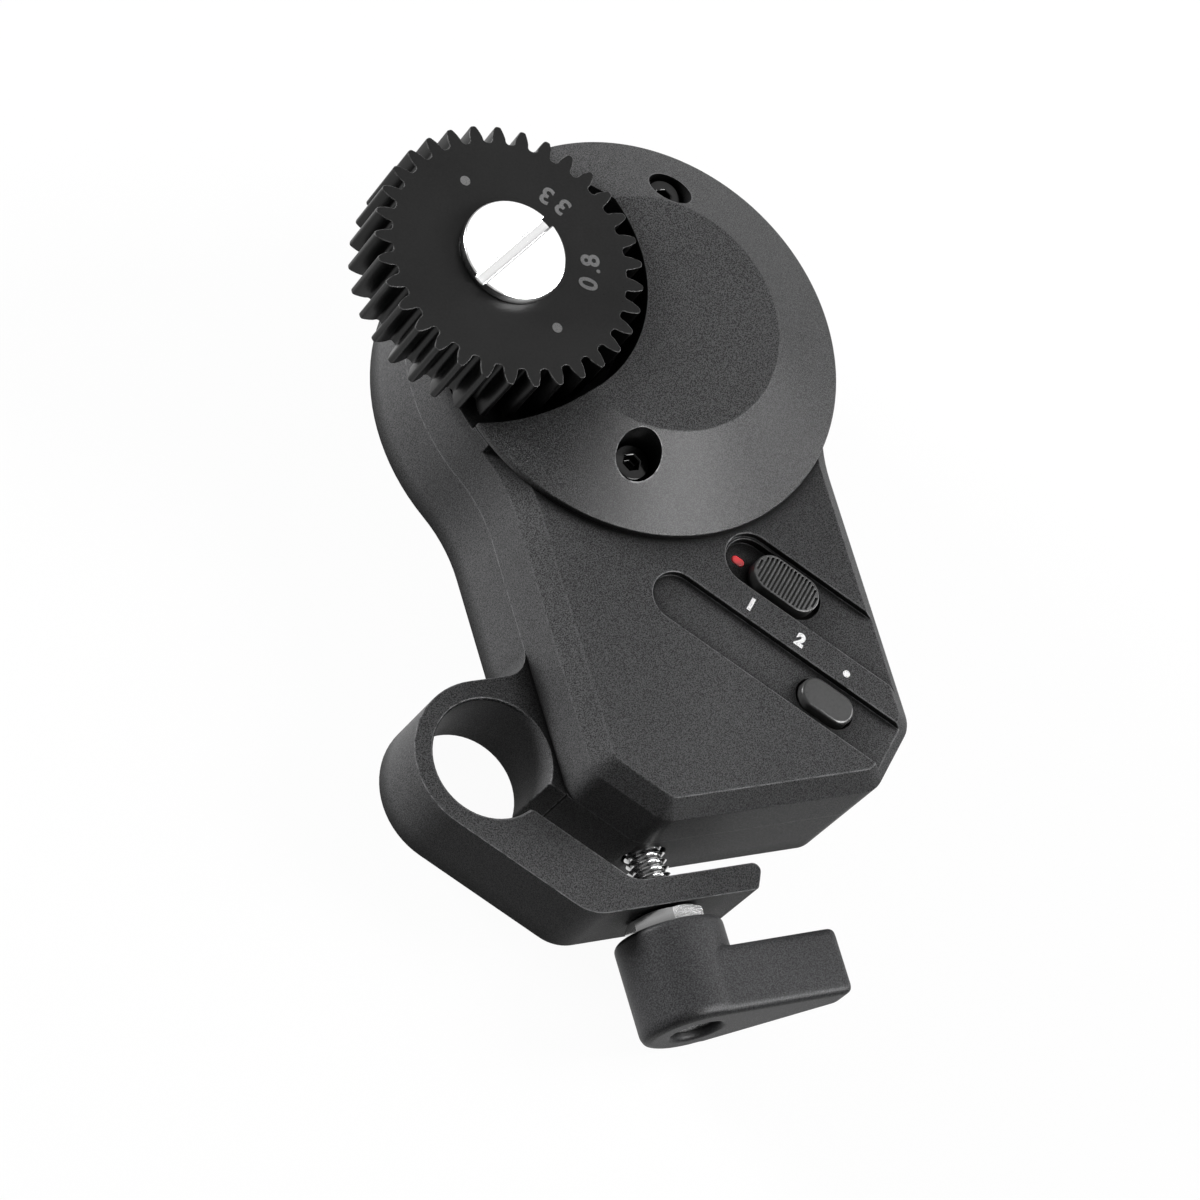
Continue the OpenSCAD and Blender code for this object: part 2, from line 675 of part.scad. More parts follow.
// The cap's outer form moved in by inset, without the gear's pocket and its wall.
module cap_form(inset, z0, pocket_wall) {
    down = inset * 1.15;
    difference() {
        union() {
            translate([cap_x, cap_y, z0]) cylinder(h = rim_z - z0 - inset * 0.6, r = barrel_r - inset);
            translate([cap_x, cap_y, rim_z - inset * 0.6])
                cylinder(h = cone_h + inset * 0.6 - down, r1 = barrel_r - inset, r2 = flat_r);
        }
        post(gear_mid, pocket_r + pocket_wall, z0 - over, flat_z + over);
    }
}

// Socket head screw whose head stands on the plane z = 0, its shank below.
module socket_screw(head_r, head_h, shank, length) {
    color(steel) difference() {
        union() {
            cylinder(h = head_h, r = head_r);
            translate([0, 0, -length]) cylinder(h = length + head_h / 2, r = shank);
        }
        translate([0, 0, head_h * 0.45]) cylinder(h = head_h, r = key_r, $fn = 6);
    }
}

// The two screws whose heads lie down in the cone's recesses.
module cap_screws() {
    for (p = cap_screw_spots) translate([p.x, p.y, cap_seat_z])
        socket_screw(screw_head_r, screw_head_h, screw_r, cap_screw_l);
}

// Four screws that hold the two halves of the case together, put in from the back.
module case_screws() {
    for (p = case_screw_spots) translate([p.x, p.y, case_head_sink]) mirror([0, 0, 1])
        socket_screw(screw_head_r, case_head_sink - 0.5, screw_r, case_screw_l);
}

// Gear that turns the lens: teeth, and a boss that stands on the upper bearing.
module drive_gear() {
    color([0.1, 0.1, 0.1]) translate([gear_mid.x, gear_mid.y, 0]) difference() {
        union() {
            translate([0, 0, gear_z]) linear_extrude(gear_w)
                polygon(gear_outline(teeth, gear_module, press_out, 1, 1.25, backlash, gear_turn));
            translate([0, 0, upper_bearing_top])
                cylinder(h = gear_z - upper_bearing_top + 0.1, r = gear_boss_r);
        }
        translate([0, 0, upper_bearing_top - over]) cylinder(h = gear_w + 6, r = shaft_r + fit);
    }
}

// Wide slotted screw that holds the gear on its shaft.
module gear_screw() {
    color(steel) translate([gear_mid.x, gear_mid.y, gear_top_z]) difference() {
        union() {
            cylinder(h = gear_screw_t, r = gear_screw_r);
            translate([0, 0, -gear_bolt_l]) cylinder(h = gear_bolt_l + 0.1, r = gear_bolt_r);
        }
        rotate([0, 0, slot_turn]) translate([-gear_screw_r - over, -slot_w / 2, gear_screw_t - slot_depth])
            cube([2 * (gear_screw_r + over), slot_w, over]);
    }
}

// Output shaft in one piece with its small gear, threaded at the top for the gear screw.
module output_shaft() {
    shoulder_top = upper_bearing_z - 0.05;
    color(steel) translate([gear_mid.x, gear_mid.y, 0]) difference() {
        union() {
            translate([0, 0, level_3]) linear_extrude(level_t) polygon(fine_gear(out_teeth, fine_module, 0));
            translate([0, 0, shaft_foot_z])
                cylinder(h = lower_bearing_top - shaft_foot_z + 0.1, r = shaft_foot_r);
            translate([0, 0, lower_bearing_top + 0.05])
                cylinder(h = shoulder_top - lower_bearing_top - 0.05, r = shaft_r + 0.4);
            translate([0, 0, shoulder_top - 0.1])
                cylinder(h = gear_top_z - touch_gap - shoulder_top + 0.1, r = shaft_r);
        }
        translate([0, 0, gear_top_z - gear_bolt_l - 0.3])
            cylinder(h = gear_bolt_l + over, r = gear_bolt_r + fit);
    }
}

// Outline of a gear in the reduction; each is turned so that its teeth mesh with the one before.
function fine_gear(n, m, turn) = gear_outline(n, m, press_fine, 0.8, 1.1, backlash, turn);

// Ball bearing drawn as one ring.
module bearing(at, z0, r, inner, width) {
    color([0.6, 0.6, 0.62]) difference() {
        post(at, r, z0, z0 + width);
        post(at, inner + fit, z0 - over, z0 + width + over);
    }
}

module upper_bearing() {
    bearing(gear_mid, upper_bearing_z, bearing_r, shaft_r, bearing_w);
}

module lower_bearing() {
    bearing(gear_mid, lower_bearing_z, small_bearing_r, shaft_foot_r, small_bearing_w);
}

// Steel plate that holds the lower bearing, the gear pins and the motor.
module gearbox_plate() {
    color([0.7, 0.7, 0.66]) difference() {
        union() {
            post(cap_mid, barrel_r - wall_t - 0.4, gear_plate_z, plate_top_z);
            post(gear_mid, small_bearing_r + collar_wall, gear_plate_z, lower_bearing_top);
        }
        post(gear_mid, small_bearing_r + fit, lower_bearing_z, lower_bearing_top + over);
        post(gear_mid, shaft_foot_r + 0.8, gear_plate_z - over, lower_bearing_z + over);
        for (p = [wheel_a_mid, wheel_b_mid]) post(p, pin_r + fit, gear_plate_z - over, plate_top_z + over);
        post(motor_mid, motor_boss_r + fit, gear_plate_z - over, plate_top_z + over);
        for (p = plate_post_spots) post(p, screw_r + screw_play, gear_plate_z - over, plate_top_z + over);
        for (p = motor_screw_spots)
            post(p, small_screw_r + screw_play, gear_plate_z - over, plate_top_z + over);
    }
}

// Three screws that hold the gearbox plate on its posts.
module plate_screws() {
    for (p = plate_post_spots) translate([p.x, p.y, plate_top_z])
        socket_screw(screw_r + 0.75, 1.3, screw_r, plate_top_z - floor_t - 2);
}

// Two pins, pressed into the back wall and the plate, for the reduction gears.
module gear_pins() {
    color(steel) for (p = [wheel_a_mid, wheel_b_mid]) post(p, pin_r, floor_t - pin_seat, plate_top_z);
}

// One reduction gear: a large wheel, a small pinion and a hub, bored to run on its pin.
module compound_gear(at, wheel_z, wheel, pinion_z, pinion) {
    color([0.85, 0.82, 0.7]) translate([at.x, at.y, 0]) difference() {
        union() {
            translate([0, 0, wheel_z]) linear_extrude(level_t) polygon(wheel);
            translate([0, 0, pinion_z]) linear_extrude(level_t) polygon(pinion);
            translate([0, 0, hub_z]) cylinder(h = hub_top_z - hub_z, r = gear_hub_r);
        }
        translate([0, 0, floor_t]) cylinder(h = gear_plate_z - floor_t, r = pin_r + 0.03);
    }
}

module compound_gear_b() {
    compound_gear(wheel_b_mid, level_2, fine_gear(wheel_b_teeth, fine_module, 0), level_3,
        fine_gear(pinion_teeth, fine_module, meshed(0, out_teeth, pinion_teeth, train_turn)));
}

module compound_gear_a() {
    compound_gear(wheel_a_mid, level_1, fine_gear(wheel_a_teeth, motor_module, 0), level_2,
        fine_gear(pinion_teeth, fine_module, meshed(0, wheel_b_teeth, pinion_teeth, turn_ba)));
}

// Motor can standing on the plate, with its bearing boss through it and two tabs on top.
module motor_can() {
    color([0.6, 0.6, 0.6]) difference() {
        union() {
            post(motor_mid, motor_r, plate_top_z, plate_top_z + motor_h);
            post(motor_mid, motor_boss_r, gear_plate_z, plate_top_z + 0.1);
            for (s = [-1, 1])
                translate([motor_mid.x + s * 3 - 0.9, motor_mid.y - 0.2, plate_top_z + motor_h - 0.1])
                    cube([1.8, 0.4, 0.8]);
        }
        post(motor_mid, rotor_r + slack, gear_plate_z - over, plate_top_z + 6);
        for (p = motor_screw_spots)
            post(p, small_screw_r + fit, plate_top_z - over, plate_top_z + motor_screw_l + 0.3);
    }
}

// Motor shaft with the pinion that drives the first wheel.
module motor_rotor() {
    color(steel) translate([motor_mid.x, motor_mid.y, 0]) {
        translate([0, 0, level_1 - 0.1]) cylinder(h = plate_top_z + 5.5 - level_1, r = rotor_r);
        translate([0, 0, level_1]) linear_extrude(level_t)
            polygon(fine_gear(pinion_teeth, motor_module, meshed(0, wheel_a_teeth, pinion_teeth, turn_am)));
    }
}

// Two short screws that hold the motor to the plate from below.
module motor_screws() {
    for (p = motor_screw_spots) color(steel) {
        post(p, small_screw_r + 0.6, gear_plate_z - 0.9, gear_plate_z);
        post(p, small_screw_r, gear_plate_z - 0.1, plate_top_z + motor_screw_l);
    }
}

// Board with the controls on top and the USB socket underneath.
module circuit_board() {
    color([0.05, 0.3, 0.15]) difference() {
        translate([0, 0, board_z]) linear_extrude(board_t)
            polygon([[board_left, board_bottom], [board_notch.x, board_bottom], board_notch,
                [board_right, board_notch.y], [board_right, board_top], [board_left, board_top]]);
        for (p = board_screw_spots) post(p, small_screw_r + screw_play, board_z - over, board_top_z + over);
    }
}

module board_screws() {
    for (p = board_screw_spots) translate([p.x, p.y, board_top_z])
        socket_screw(small_screw_r + 0.6, 1.1, small_screw_r, board_top_z - floor_t - 2);
}

// Motor driver, controller and a row of small parts.
module board_chips() {
    beside = board_screw_spots[0].x + board_hole_in + chip_clear;
    color([0.08, 0.08, 0.08]) {
        translate([beside, board_top - chip_clear - chip_w, board_top_z]) cube([chip_w, chip_w, chip_h]);
        translate([board_left + chip_clear, board_bottom + 2 * board_hole_in + chip_clear, board_top_z])
            cube([small_chip_w, small_chip_w, chip_h]);
        for (i = [0:3]) translate([beside + 2 * strip_w * i, board_bottom + chip_clear, board_top_z])
            cube([strip_w, strip_l, strip_w]);
    }
}

// Slide switch on the board, open on top for its slider.
module slide_switch() {
    color([0.3, 0.3, 0.32]) difference() {
        lane_block(slider_mid, switch_l, switch_w, board_top_z, board_top_z + switch_h);
        lane_block(slider_mid, slider_l + knob_travel + 0.3, slider_w + 0.2, board_top_z + 1.2,
            board_top_z + switch_h - 0.6);
        lane_block(slider_mid, slider_pin_l + knob_travel + 0.4, slider_pin_w + 0.3, board_top_z + 1.2,
            board_top_z + switch_h + over);
    }
}

// Slider of the slide switch; its pin sits in the knob's stem.
module switch_slider() {
    color([0.9, 0.9, 0.86]) {
        lane_block(knob_mid, slider_l, slider_w, board_top_z + 1.3, board_top_z + switch_h - 0.7);
        lane_block(knob_mid, slider_pin_l, slider_pin_w, board_top_z + 2, stem_z + 1);
    }
}

// Ribbed knob that slides in its well, with a stem down through the plate.
module slide_knob() {
    top = plate_z + knob_h;
    pitch = knob_l / knob_ribs;
    color([0.12, 0.12, 0.12]) difference() {
        union() {
            pill(knob_mid, knob_l, knob_w, well_z + 0.1, top);
            lane_block(knob_mid, stem_l, stem_w, stem_z, well_z + 0.2);
        }
        for (i = [1:knob_ribs - 1])
            lane_block(knob_mid + (i * pitch - knob_l / 2) * lane_dir, pitch * rib_share, knob_w + over,
                top - rib_depth, top + over);
        lane_block(knob_mid, slider_pin_l + 0.1, slider_pin_w + 0.1, stem_z - over, stem_z + 1.1);
    }
}

// Mark that shows when the knob stands at the far end of its travel.
module red_mark_form(room) {
    pill(switch_end - 0.8 * lane_dir, 1.4 + 2 * room, 0.85 + 2 * room, well_z - 0.25, well_z + 0.05);
}

module red_mark() {
    color("red") red_mark_form(0);
}

// Push button, kept in by the lip under the plate.
module push_button() {
    color([0.16, 0.16, 0.16]) {
        pill(button_mid, button_l, button_w, ceiling_z - 0.2, plate_z + button_h);
        pill(button_mid, button_l + 1.2, button_w + 1.2, ceiling_z - 0.1 - button_lip, ceiling_z - 0.1);
        post(button_mid, 0.8, plunger_top_z, ceiling_z - 0.15);
    }
}

module tact_switch() {
    color([0.2, 0.2, 0.2]) difference() {
        lane_block(button_mid, tact_w, tact_w, board_top_z, board_top_z + tact_h);
        post(button_mid, 1, board_top_z + 1, board_top_z + tact_h + over);
    }
}

module tact_plunger() {
    color([0.8, 0.75, 0.6]) post(button_mid, 0.9, board_top_z + 1.1 + button_travel, plunger_top_z);
}

// USB socket for power and data, its mouth in the right wall.
module usb_socket() {
    mouth = body_right - 0.3;
    color(steel) difference() {
        usb_mouth(0, mouth - usb_l, mouth);
        difference() {
            usb_mouth(-usb_wall, mouth - usb_l + 1, mouth + over);
            translate([mouth - usb_l, usb_y - tongue_w / 2, usb_z - tongue_t / 2])
                cube([usb_l - 0.8, tongue_w, tongue_t]);
        }
    }
}

// Threaded insert that takes the clamp screw.
module thread_insert() {
    color([0.75, 0.6, 0.3]) difference() {
        stud_post(insert_r, insert_y + insert_l, insert_y);
        stud_post(stud_r + slack, insert_y + insert_l + over, insert_y - over);
    }
}

// Clamp screw: thread, hexagonal collar and the shank that carries the lever's spring.
module clamp_screw() {
    span = thread_start_y - hex_y;
    turns = floor(span / thread_pitch);
    low_r = stud_r - thread_depth;
    ring = [for (i = [0:turns - 1]) each [[low_r, (i + 0.1) * thread_pitch],
        [stud_r, (i + 0.4) * thread_pitch], [stud_r, (i + 0.6) * thread_pitch],
        [low_r, (i + 0.9) * thread_pitch]]];
    color(steel) difference() {
        union() {
            translate([stud_x, thread_start_y, stud_z]) rotate([90, 0, 0])
                rotate_extrude() polygon(concat([[0, 0]], ring, [[low_r, span + 0.2], [0, span + 0.2]]));
            stud_hex(hex_af, hex_y, hex_end_y);
            stud_post(shank_r, hex_end_y + 0.1, lever_screw_y);
        }
        stud_post(0.8 + fit, lever_screw_y + 4.5, lever_screw_y - over);
    }
}

// Lever: a round hub with a flat handle that thins towards its tip.
module clamp_lever() {
    color([0.2, 0.2, 0.2]) difference() {
        union() {
            stud_post(hub_r, lever_y, lever_end_y);
            translate([stud_x, lever_end_y + lever_w, stud_z]) rotate([90, 0, 0]) linear_extrude(lever_w)
                polygon(lever_outline());
        }
        stud_hex(hex_af + 0.15, lever_y + over, web_y);
        stud_post(shank_r + slack, lever_y, lever_end_y);
        stud_post(spring_room_r, spring_y, lever_end_y - over);
    }
}

// The handle in section: flat in front, tangent to the hub behind.
function lever_outline() =
    let (tip = [lever_reach, hub_r - lever_tip], back = atan2(tip.y, tip.x) - acos(hub_r / norm(tip)))
    rounded([[0, hub_r], polar(hub_r, back), tip, [lever_reach, hub_r]], [0, 0, 1, 1]);

// Screw in the hub's end that keeps the spring and the lever on.
module lever_screw() {
    color(steel) difference() {
        union() {
            stud_post(lever_screw_r, lever_screw_y, lever_screw_y - lever_screw_t);
            stud_post(0.8, lever_screw_y + 4, lever_screw_y);
        }
        stud_hex(1.5, lever_screw_y - 0.4, lever_screw_y - lever_screw_t - over);
    }
}

// Coil spring between the lever's web and the screw's head.
module lever_spring() {
    r = shank_r + 0.15 + spring_wire / 2;
    wire = spring_wire / 2;
    length = spring_y - lever_screw_y - spring_wire - 0.1;
    sides = 6;
    per_turn = 16;
    n = ceil(spring_turns * per_turn);
    pts = [for (i = [0:n], k = [0:sides - 1])
        let (a = 360 * i / per_turn, rr = r + wire * cos(360 * k / sides))
        [rr * cos(a), rr * sin(a), wire + 0.05 + length * i / n + wire * sin(360 * k / sides)]];
    faces = [for (i = [0:n - 1], k = [0:sides - 1]) let (a = i * sides + k, b = i * sides + (k + 1) % sides)
        each [[a, a + sides, b], [b, a + sides, b + sides]]];
    color(steel) translate([stud_x, spring_y, stud_z]) rotate([90, 0, 0])
        polyhedron(pts, concat(faces, [[for (k = [0:sides - 1]) k],
            [for (k = [sides - 1:-1:0]) n * sides + k]]));
}

rear_housing();
front_housing();
motor_cap();
cap_screws();
case_screws();
drive_gear();
gear_screw();
output_shaft();
upper_bearing();
lower_bearing();
gearbox_plate();
plate_screws();
gear_pins();
compound_gear_b();
compound_gear_a();
motor_can();
motor_rotor();
motor_screws();
circuit_board();
board_screws();
board_chips();
slide_switch();
switch_slider();
tact_switch();
tact_plunger();
usb_socket();
red_mark();
slide_knob();
push_button();
thread_insert();
clamp_screw();
clamp_lever();
lever_screw();
lever_spring();
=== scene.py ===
import math

import bmesh
import bpy
from mathutils import Matrix, Vector


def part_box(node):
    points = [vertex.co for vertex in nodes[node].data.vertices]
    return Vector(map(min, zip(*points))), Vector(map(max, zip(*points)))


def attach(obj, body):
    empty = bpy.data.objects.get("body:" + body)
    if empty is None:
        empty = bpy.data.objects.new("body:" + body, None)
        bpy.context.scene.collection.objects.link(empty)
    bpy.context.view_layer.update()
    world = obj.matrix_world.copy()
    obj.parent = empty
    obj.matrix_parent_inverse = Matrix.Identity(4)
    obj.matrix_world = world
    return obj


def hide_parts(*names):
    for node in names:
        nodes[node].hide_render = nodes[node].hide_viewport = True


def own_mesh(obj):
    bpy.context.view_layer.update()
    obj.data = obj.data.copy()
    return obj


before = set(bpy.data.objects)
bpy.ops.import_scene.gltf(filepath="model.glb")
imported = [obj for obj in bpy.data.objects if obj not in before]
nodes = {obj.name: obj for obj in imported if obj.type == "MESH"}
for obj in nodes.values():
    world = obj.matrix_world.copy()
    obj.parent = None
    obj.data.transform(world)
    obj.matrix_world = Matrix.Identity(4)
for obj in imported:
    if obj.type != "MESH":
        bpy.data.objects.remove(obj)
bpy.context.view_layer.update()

# Camera
# A long lens high over the lower left corner of the part, rolled so that the body leans.
camera = bpy.data.objects.new("camera", bpy.data.cameras.new("camera"))
bpy.context.scene.collection.objects.link(camera)
bpy.context.scene.camera = camera
camera.data.lens = 148.8024
camera.data.clip_start, camera.data.clip_end = 0.01, 10
camera.matrix_world = Matrix((
    (0.872581798, 0.109025859, -0.476145323, -0.213801784),
    (-0.277433440, 0.912905481, -0.299389827, -0.130160953),
    (0.402034442, 0.393340749, 0.826832125, 0.408851277),
    (0, 0, 0, 1),
))


# Rear housing
# Rear half of the case, with the rod clamp's ring and springy arm in one piece with it.
# Milled aluminium, bead blasted and anodised black, its edges broken by hand.
class Wire:
    """A socket in a material's nodes. Arithmetic on it adds Math nodes, node() adds any other node."""

    def __init__(self, tree, socket=None):
        self.tree, self.socket = tree, socket

    def node(self, kind, settings=(), values=(), out=0):
        made = self.tree.nodes.new(kind)
        for name, value in dict(settings).items():
            setattr(made, name, value)
        for name, value in dict(values).items():
            if isinstance(value, Wire):
                self.tree.links.new(value.socket, made.inputs[name])
            else:
                made.inputs[name].default_value = value
        return Wire(self.tree, made.outputs[out] if made.outputs else None)

    def math(self, operation, *values):
        return self.node("ShaderNodeMath", {"operation": operation}, enumerate(values))

    def __add__(self, other):
        return self.math("ADD", self, other)

    def __sub__(self, other):
        return self.math("SUBTRACT", self, other)

    def __rsub__(self, other):
        return self.math("SUBTRACT", other, self)

    def __mul__(self, other):
        return self.math("MULTIPLY", self, other)

    def __pow__(self, other):
        return self.math("POWER", self, other)

    __radd__ = __add__

    def between(self, low, high):
        """0 below low, 1 above high, and smooth between them."""
        return self.node(
            "ShaderNodeMapRange",
            {"interpolation_type": "SMOOTHSTEP"},
            {"Value": self, "From Min": low, "From Max": high},
        )

    def mix(self, low, high):
        """Colour low where this is 0, and high where it is 1."""
        return self.node("ShaderNodeMix", {"data_type": "RGBA"}, {0: self, 6: low, 7: high}, out=2)


def grey(level, blue=0.0):
    """A neutral colour, or a slightly blue one."""
    return (level, level, level * (1 + blue), 1)


def new_material(name):
    """A material with an empty tree, and the wire that its nodes are made from."""
    material = bpy.data.materials.new(name)
    material.use_nodes = True
    material.node_tree.nodes.clear()
    return material, Wire(material.node_tree)


def noise(at, scale, detail=2.0, rough=0.5):
    """Noise of a given number of features per metre, from 0 to 1."""
    return at.node(
        "ShaderNodeTexNoise", (), {"Vector": at, "Scale": scale, "Detail": detail, "Roughness": rough}
    )


def finish_surface(wire, height, depth, strength, values):
    """Principled shader with a bumped surface, wired to the output."""
    bump = wire.node("ShaderNodeBump", (), {"Height": height, "Distance": depth, "Strength": strength})
    shader = wire.node("ShaderNodeBsdfPrincipled", (), {**values, "Normal": bump})
    wire.node("ShaderNodeOutputMaterial", (), {"Surface": shader})


def wear_and_edge_highlight(at, radius=0.0002):
    """1 in patches along the edges and 0 elsewhere; the edges it marks are painted lighter, partly as rubbed
    wear and partly as a painted highlight.
    """
    normal = at.node("ShaderNodeNewGeometry", out=1)
    rounded = at.node("ShaderNodeBevel", {"samples": 4}, {"Radius": radius})
    facing = at.node("ShaderNodeVectorMath", {"operation": "DOT_PRODUCT"}, {0: normal, 1: rounded}, out=1)
    return (1 - facing).between(0.003, 0.03) * noise(at, 1500, 2).between(0.3, 0.55)


def painted_shade_mask(wire, reach, power=2):
    """1 on open surfaces, towards 0 in gaps and corners narrower than reach: the mask by which shade is
    painted into those gaps and corners.
    """
    return wire.node("ShaderNodeAmbientOcclusion", {"samples": 8}, {"Distance": reach}, out=1) ** power


GRAIN_TURN = (0.5, 0.4, 0.3)


def blasted(
    name, level, grain=0.00012, rough=0.45, specular=0.04, contrast=1.6, blue=0.02, depth=3e-5, reach=0.005
):
    """Bead blasted and anodised aluminium: dark and light grain, bright flecks, edges painted lighter as
    rubbed wear and highlight, and shade painted into gaps and corners.
    """
    material, wire = new_material(name)
    place = wire.node("ShaderNodeTexCoord", out=3)
    at = wire.node("ShaderNodeMapping", (), {"Vector": place, "Rotation": GRAIN_TURN})
    fine = noise(at, 1 / grain, 2, 0.6)
    flecks = noise(at, 1.3 / grain, 1, 0.5).between(0.62, 0.72)
    cloud = noise(at, 60, 3)
    edge = wear_and_edge_highlight(at)
    grains = (fine.between(0.34, 0.66) - 0.5) * (0.62 * contrast) + flecks * (0.5 * contrast)
    tone = grains + (cloud - 0.5) * 0.25 + 0.42
    colour = tone.mix(grey(level * 0.3, blue), grey(level * 1.9, blue))
    # Painted highlight and wear: the marked edges are painted lighter.
    colour = (edge * 0.85).mix(colour, grey(level * 3.6, blue))
    # Painted shade: gaps and corners are darkened towards near black.
    colour = (painted_shade_mask(wire, reach, 3) * painted_shade_mask(wire, 0.0004)).mix(grey(level * 0.06, blue), colour)
    finish_surface(wire, fine + flecks * 0.5, depth, 0.5, {
        "Base Color": colour,
        "Metallic": flecks * 0.2 + edge * 0.2,
        "Roughness": rough + (fine - 0.5) * 0.25 - flecks * 0.15,
        "Specular IOR Level": specular,
    })
    return material


MERGE = 2e-6
FLAT = math.radians(0.8)
SHARP = math.radians(27)


def merged(node):
    """A CAD node's triangles, joined into one skin with whole flat faces."""
    bm = bmesh.new()
    bm.from_mesh(nodes[node].data)
    bmesh.ops.remove_doubles(bm, verts=bm.verts, dist=MERGE)
    bmesh.ops.dissolve_limit(bm, angle_limit=FLAT, verts=bm.verts, edges=bm.edges)
    return bm


def soften(bm, offset, segments=2, pick=lambda edge: True, sharp=SHARP):
    """Rounds the sharp edges that pick chooses."""
    edges = [e for e in bm.edges if e.is_manifold and e.calc_face_angle(0) > sharp and pick(e)]
    bmesh.ops.bevel(
        bm, geom=edges, offset=offset, offset_type="OFFSET", affect="EDGES", segments=segments,
        profile=0.5, material=-1, clamp_overlap=False,
    )


def piece(bm, name, material):
    """An object with its place in its mesh, smooth over its rounded edges."""
    mesh = bpy.data.meshes.new(name)
    bm.to_mesh(mesh)
    bm.free()
    mesh.materials.append(material)
    mesh.polygons.foreach_set("use_smooth", [True] * len(mesh.polygons))
    mesh.set_sharp_from_angle(angle=math.radians(50))
    made = bpy.data.objects.new(name, mesh)
    bpy.context.scene.collection.objects.link(made)
    flat = made.modifiers.new("flat faces stay flat", "WEIGHTED_NORMAL")
    flat.keep_sharp, flat.weight = True, 80
    return made


SPLIT_Z = 0.0093


def at_split(edge):
    """True for the edges of the joint between the two halves."""
    return all(abs(v.co.z - SPLIT_Z) < 1e-6 for v in edge.verts)


STRIP_W = 7e-5


def on_strip(edge):
    """True for the edges of a face too narrow to be rounded."""
    return any(f.calc_area() < STRIP_W * max(e.calc_length() for e in f.edges) for f in edge.link_faces)


EDGE_R, FRONT_EDGE_R, SEAM_R = 0.00012, 0.0001, 0.00002
BODY_LEFT, BODY_BOTTOM, CORNER = 0.00665, -0.0107, 0.0059
SLIT_STEP = 0.00005
SLIT_WALL = (BODY_LEFT + BODY_BOTTOM + CORNER) / math.sqrt(2) - SLIT_STEP
case_black = blasted("case black", 0.06, contrast=1.25, reach=0.003)
rear = merged("rear_housing")
across = Vector((1, 1, 0)).normalized()
stepped = [v for v in rear.verts if abs(v.co.dot(across) - SLIT_WALL) < MERGE]
bmesh.ops.translate(rear, verts=stepped, vec=across * SLIT_STEP)
bmesh.ops.dissolve_degenerate(rear, edges=rear.edges, dist=MERGE)
bmesh.ops.dissolve_limit(rear, angle_limit=FLAT, verts=rear.verts, edges=rear.edges)
soften(rear, EDGE_R, pick=lambda edge: not at_split(edge) and not on_strip(edge))
soften(rear, SEAM_R, 1, at_split)
rear_case = piece(rear, "rear_case", case_black)
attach(rear_case, "housing")
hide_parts("rear_housing")

# Front housing
# Front half of the case: chamfered plate, two lanes for the controls and the gear's pocket.
# Same blasted aluminium, screwed to the rear half from behind.
front = merged("front_housing")
soften(front, FRONT_EDGE_R, pick=lambda edge: not at_split(edge))
soften(front, SEAM_R, 1, at_split)
front_case = piece(front, "front_case", case_black)
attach(front_case, "housing")
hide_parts("front_housing")

# Printed marks
# Plain figures for the switch's two positions and a dot for the button, printed in white ink.
PRINT_UP = 0.000012
PRINT_TURN = math.radians(-45)
PLATE_Z = 0.01705
MARK_SIZE, MARK_BOLD = 0.00185, 0.065
DOT_R, DOT_X, DOT_Y = 0.00038, 0.03587, 0.00097


def ink(name, level):
    """Opaque ink or laser mark, with tiny gaps where the grain under it shows."""
    material, wire = new_material(name)
    at = wire.node("ShaderNodeTexCoord", out=3)
    gaps = noise(at, 9000, 2).between(0.36, 0.5)
    finish_surface(wire, noise(at, 7000), 1e-5, 0.4, {
        "Base Color": gaps.mix(grey(level * 0.55), grey(level)),
        "Roughness": 0.6 + gaps * 0.1,
        "Specular IOR Level": 0.3,
    })
    return material


def figure(text, name, size, at, turn, z, material, bold):
    """A figure as a thin closed plate of ink, its middle at a point of the plan."""
    curve = bpy.data.curves.new(name, "FONT")
    curve.body, curve.size, curve.extrude = text, size, PRINT_UP / 2
    curve.align_x, curve.align_y, curve.resolution_u = "CENTER", "CENTER", 6
    curve.offset = size * bold
    letters = bpy.data.objects.new(name, curve)
    mesh = bpy.data.meshes.new_from_object(letters)
    bpy.data.objects.remove(letters)
    mesh.transform(Matrix.Translation((*at, z + PRINT_UP / 2)) @ Matrix.Rotation(turn, 4, "Z"))
    mesh.materials.clear()
    mesh.materials.append(material)
    made = bpy.data.objects.new(name, mesh)
    bpy.context.scene.collection.objects.link(made)
    return made


white_ink = ink("white ink", 1.0)
for text, name, at in (("1", "mark_one", (0.02782, 0.00929)), ("2", "mark_two", (0.03195, 0.00498))):
    mark = figure(text, name, MARK_SIZE, at, PRINT_TURN, PLATE_Z, white_ink, MARK_BOLD)
    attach(mark, "housing")
dot = bmesh.new()
bmesh.ops.create_cone(
    dot, cap_ends=True, segments=32, radius1=DOT_R, radius2=DOT_R, depth=PRINT_UP,
    matrix=Matrix.Translation((DOT_X, DOT_Y, PLATE_Z + PRINT_UP / 2)),
)
button_mark = piece(dot, "mark_button", white_ink)
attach(button_mark, "housing")

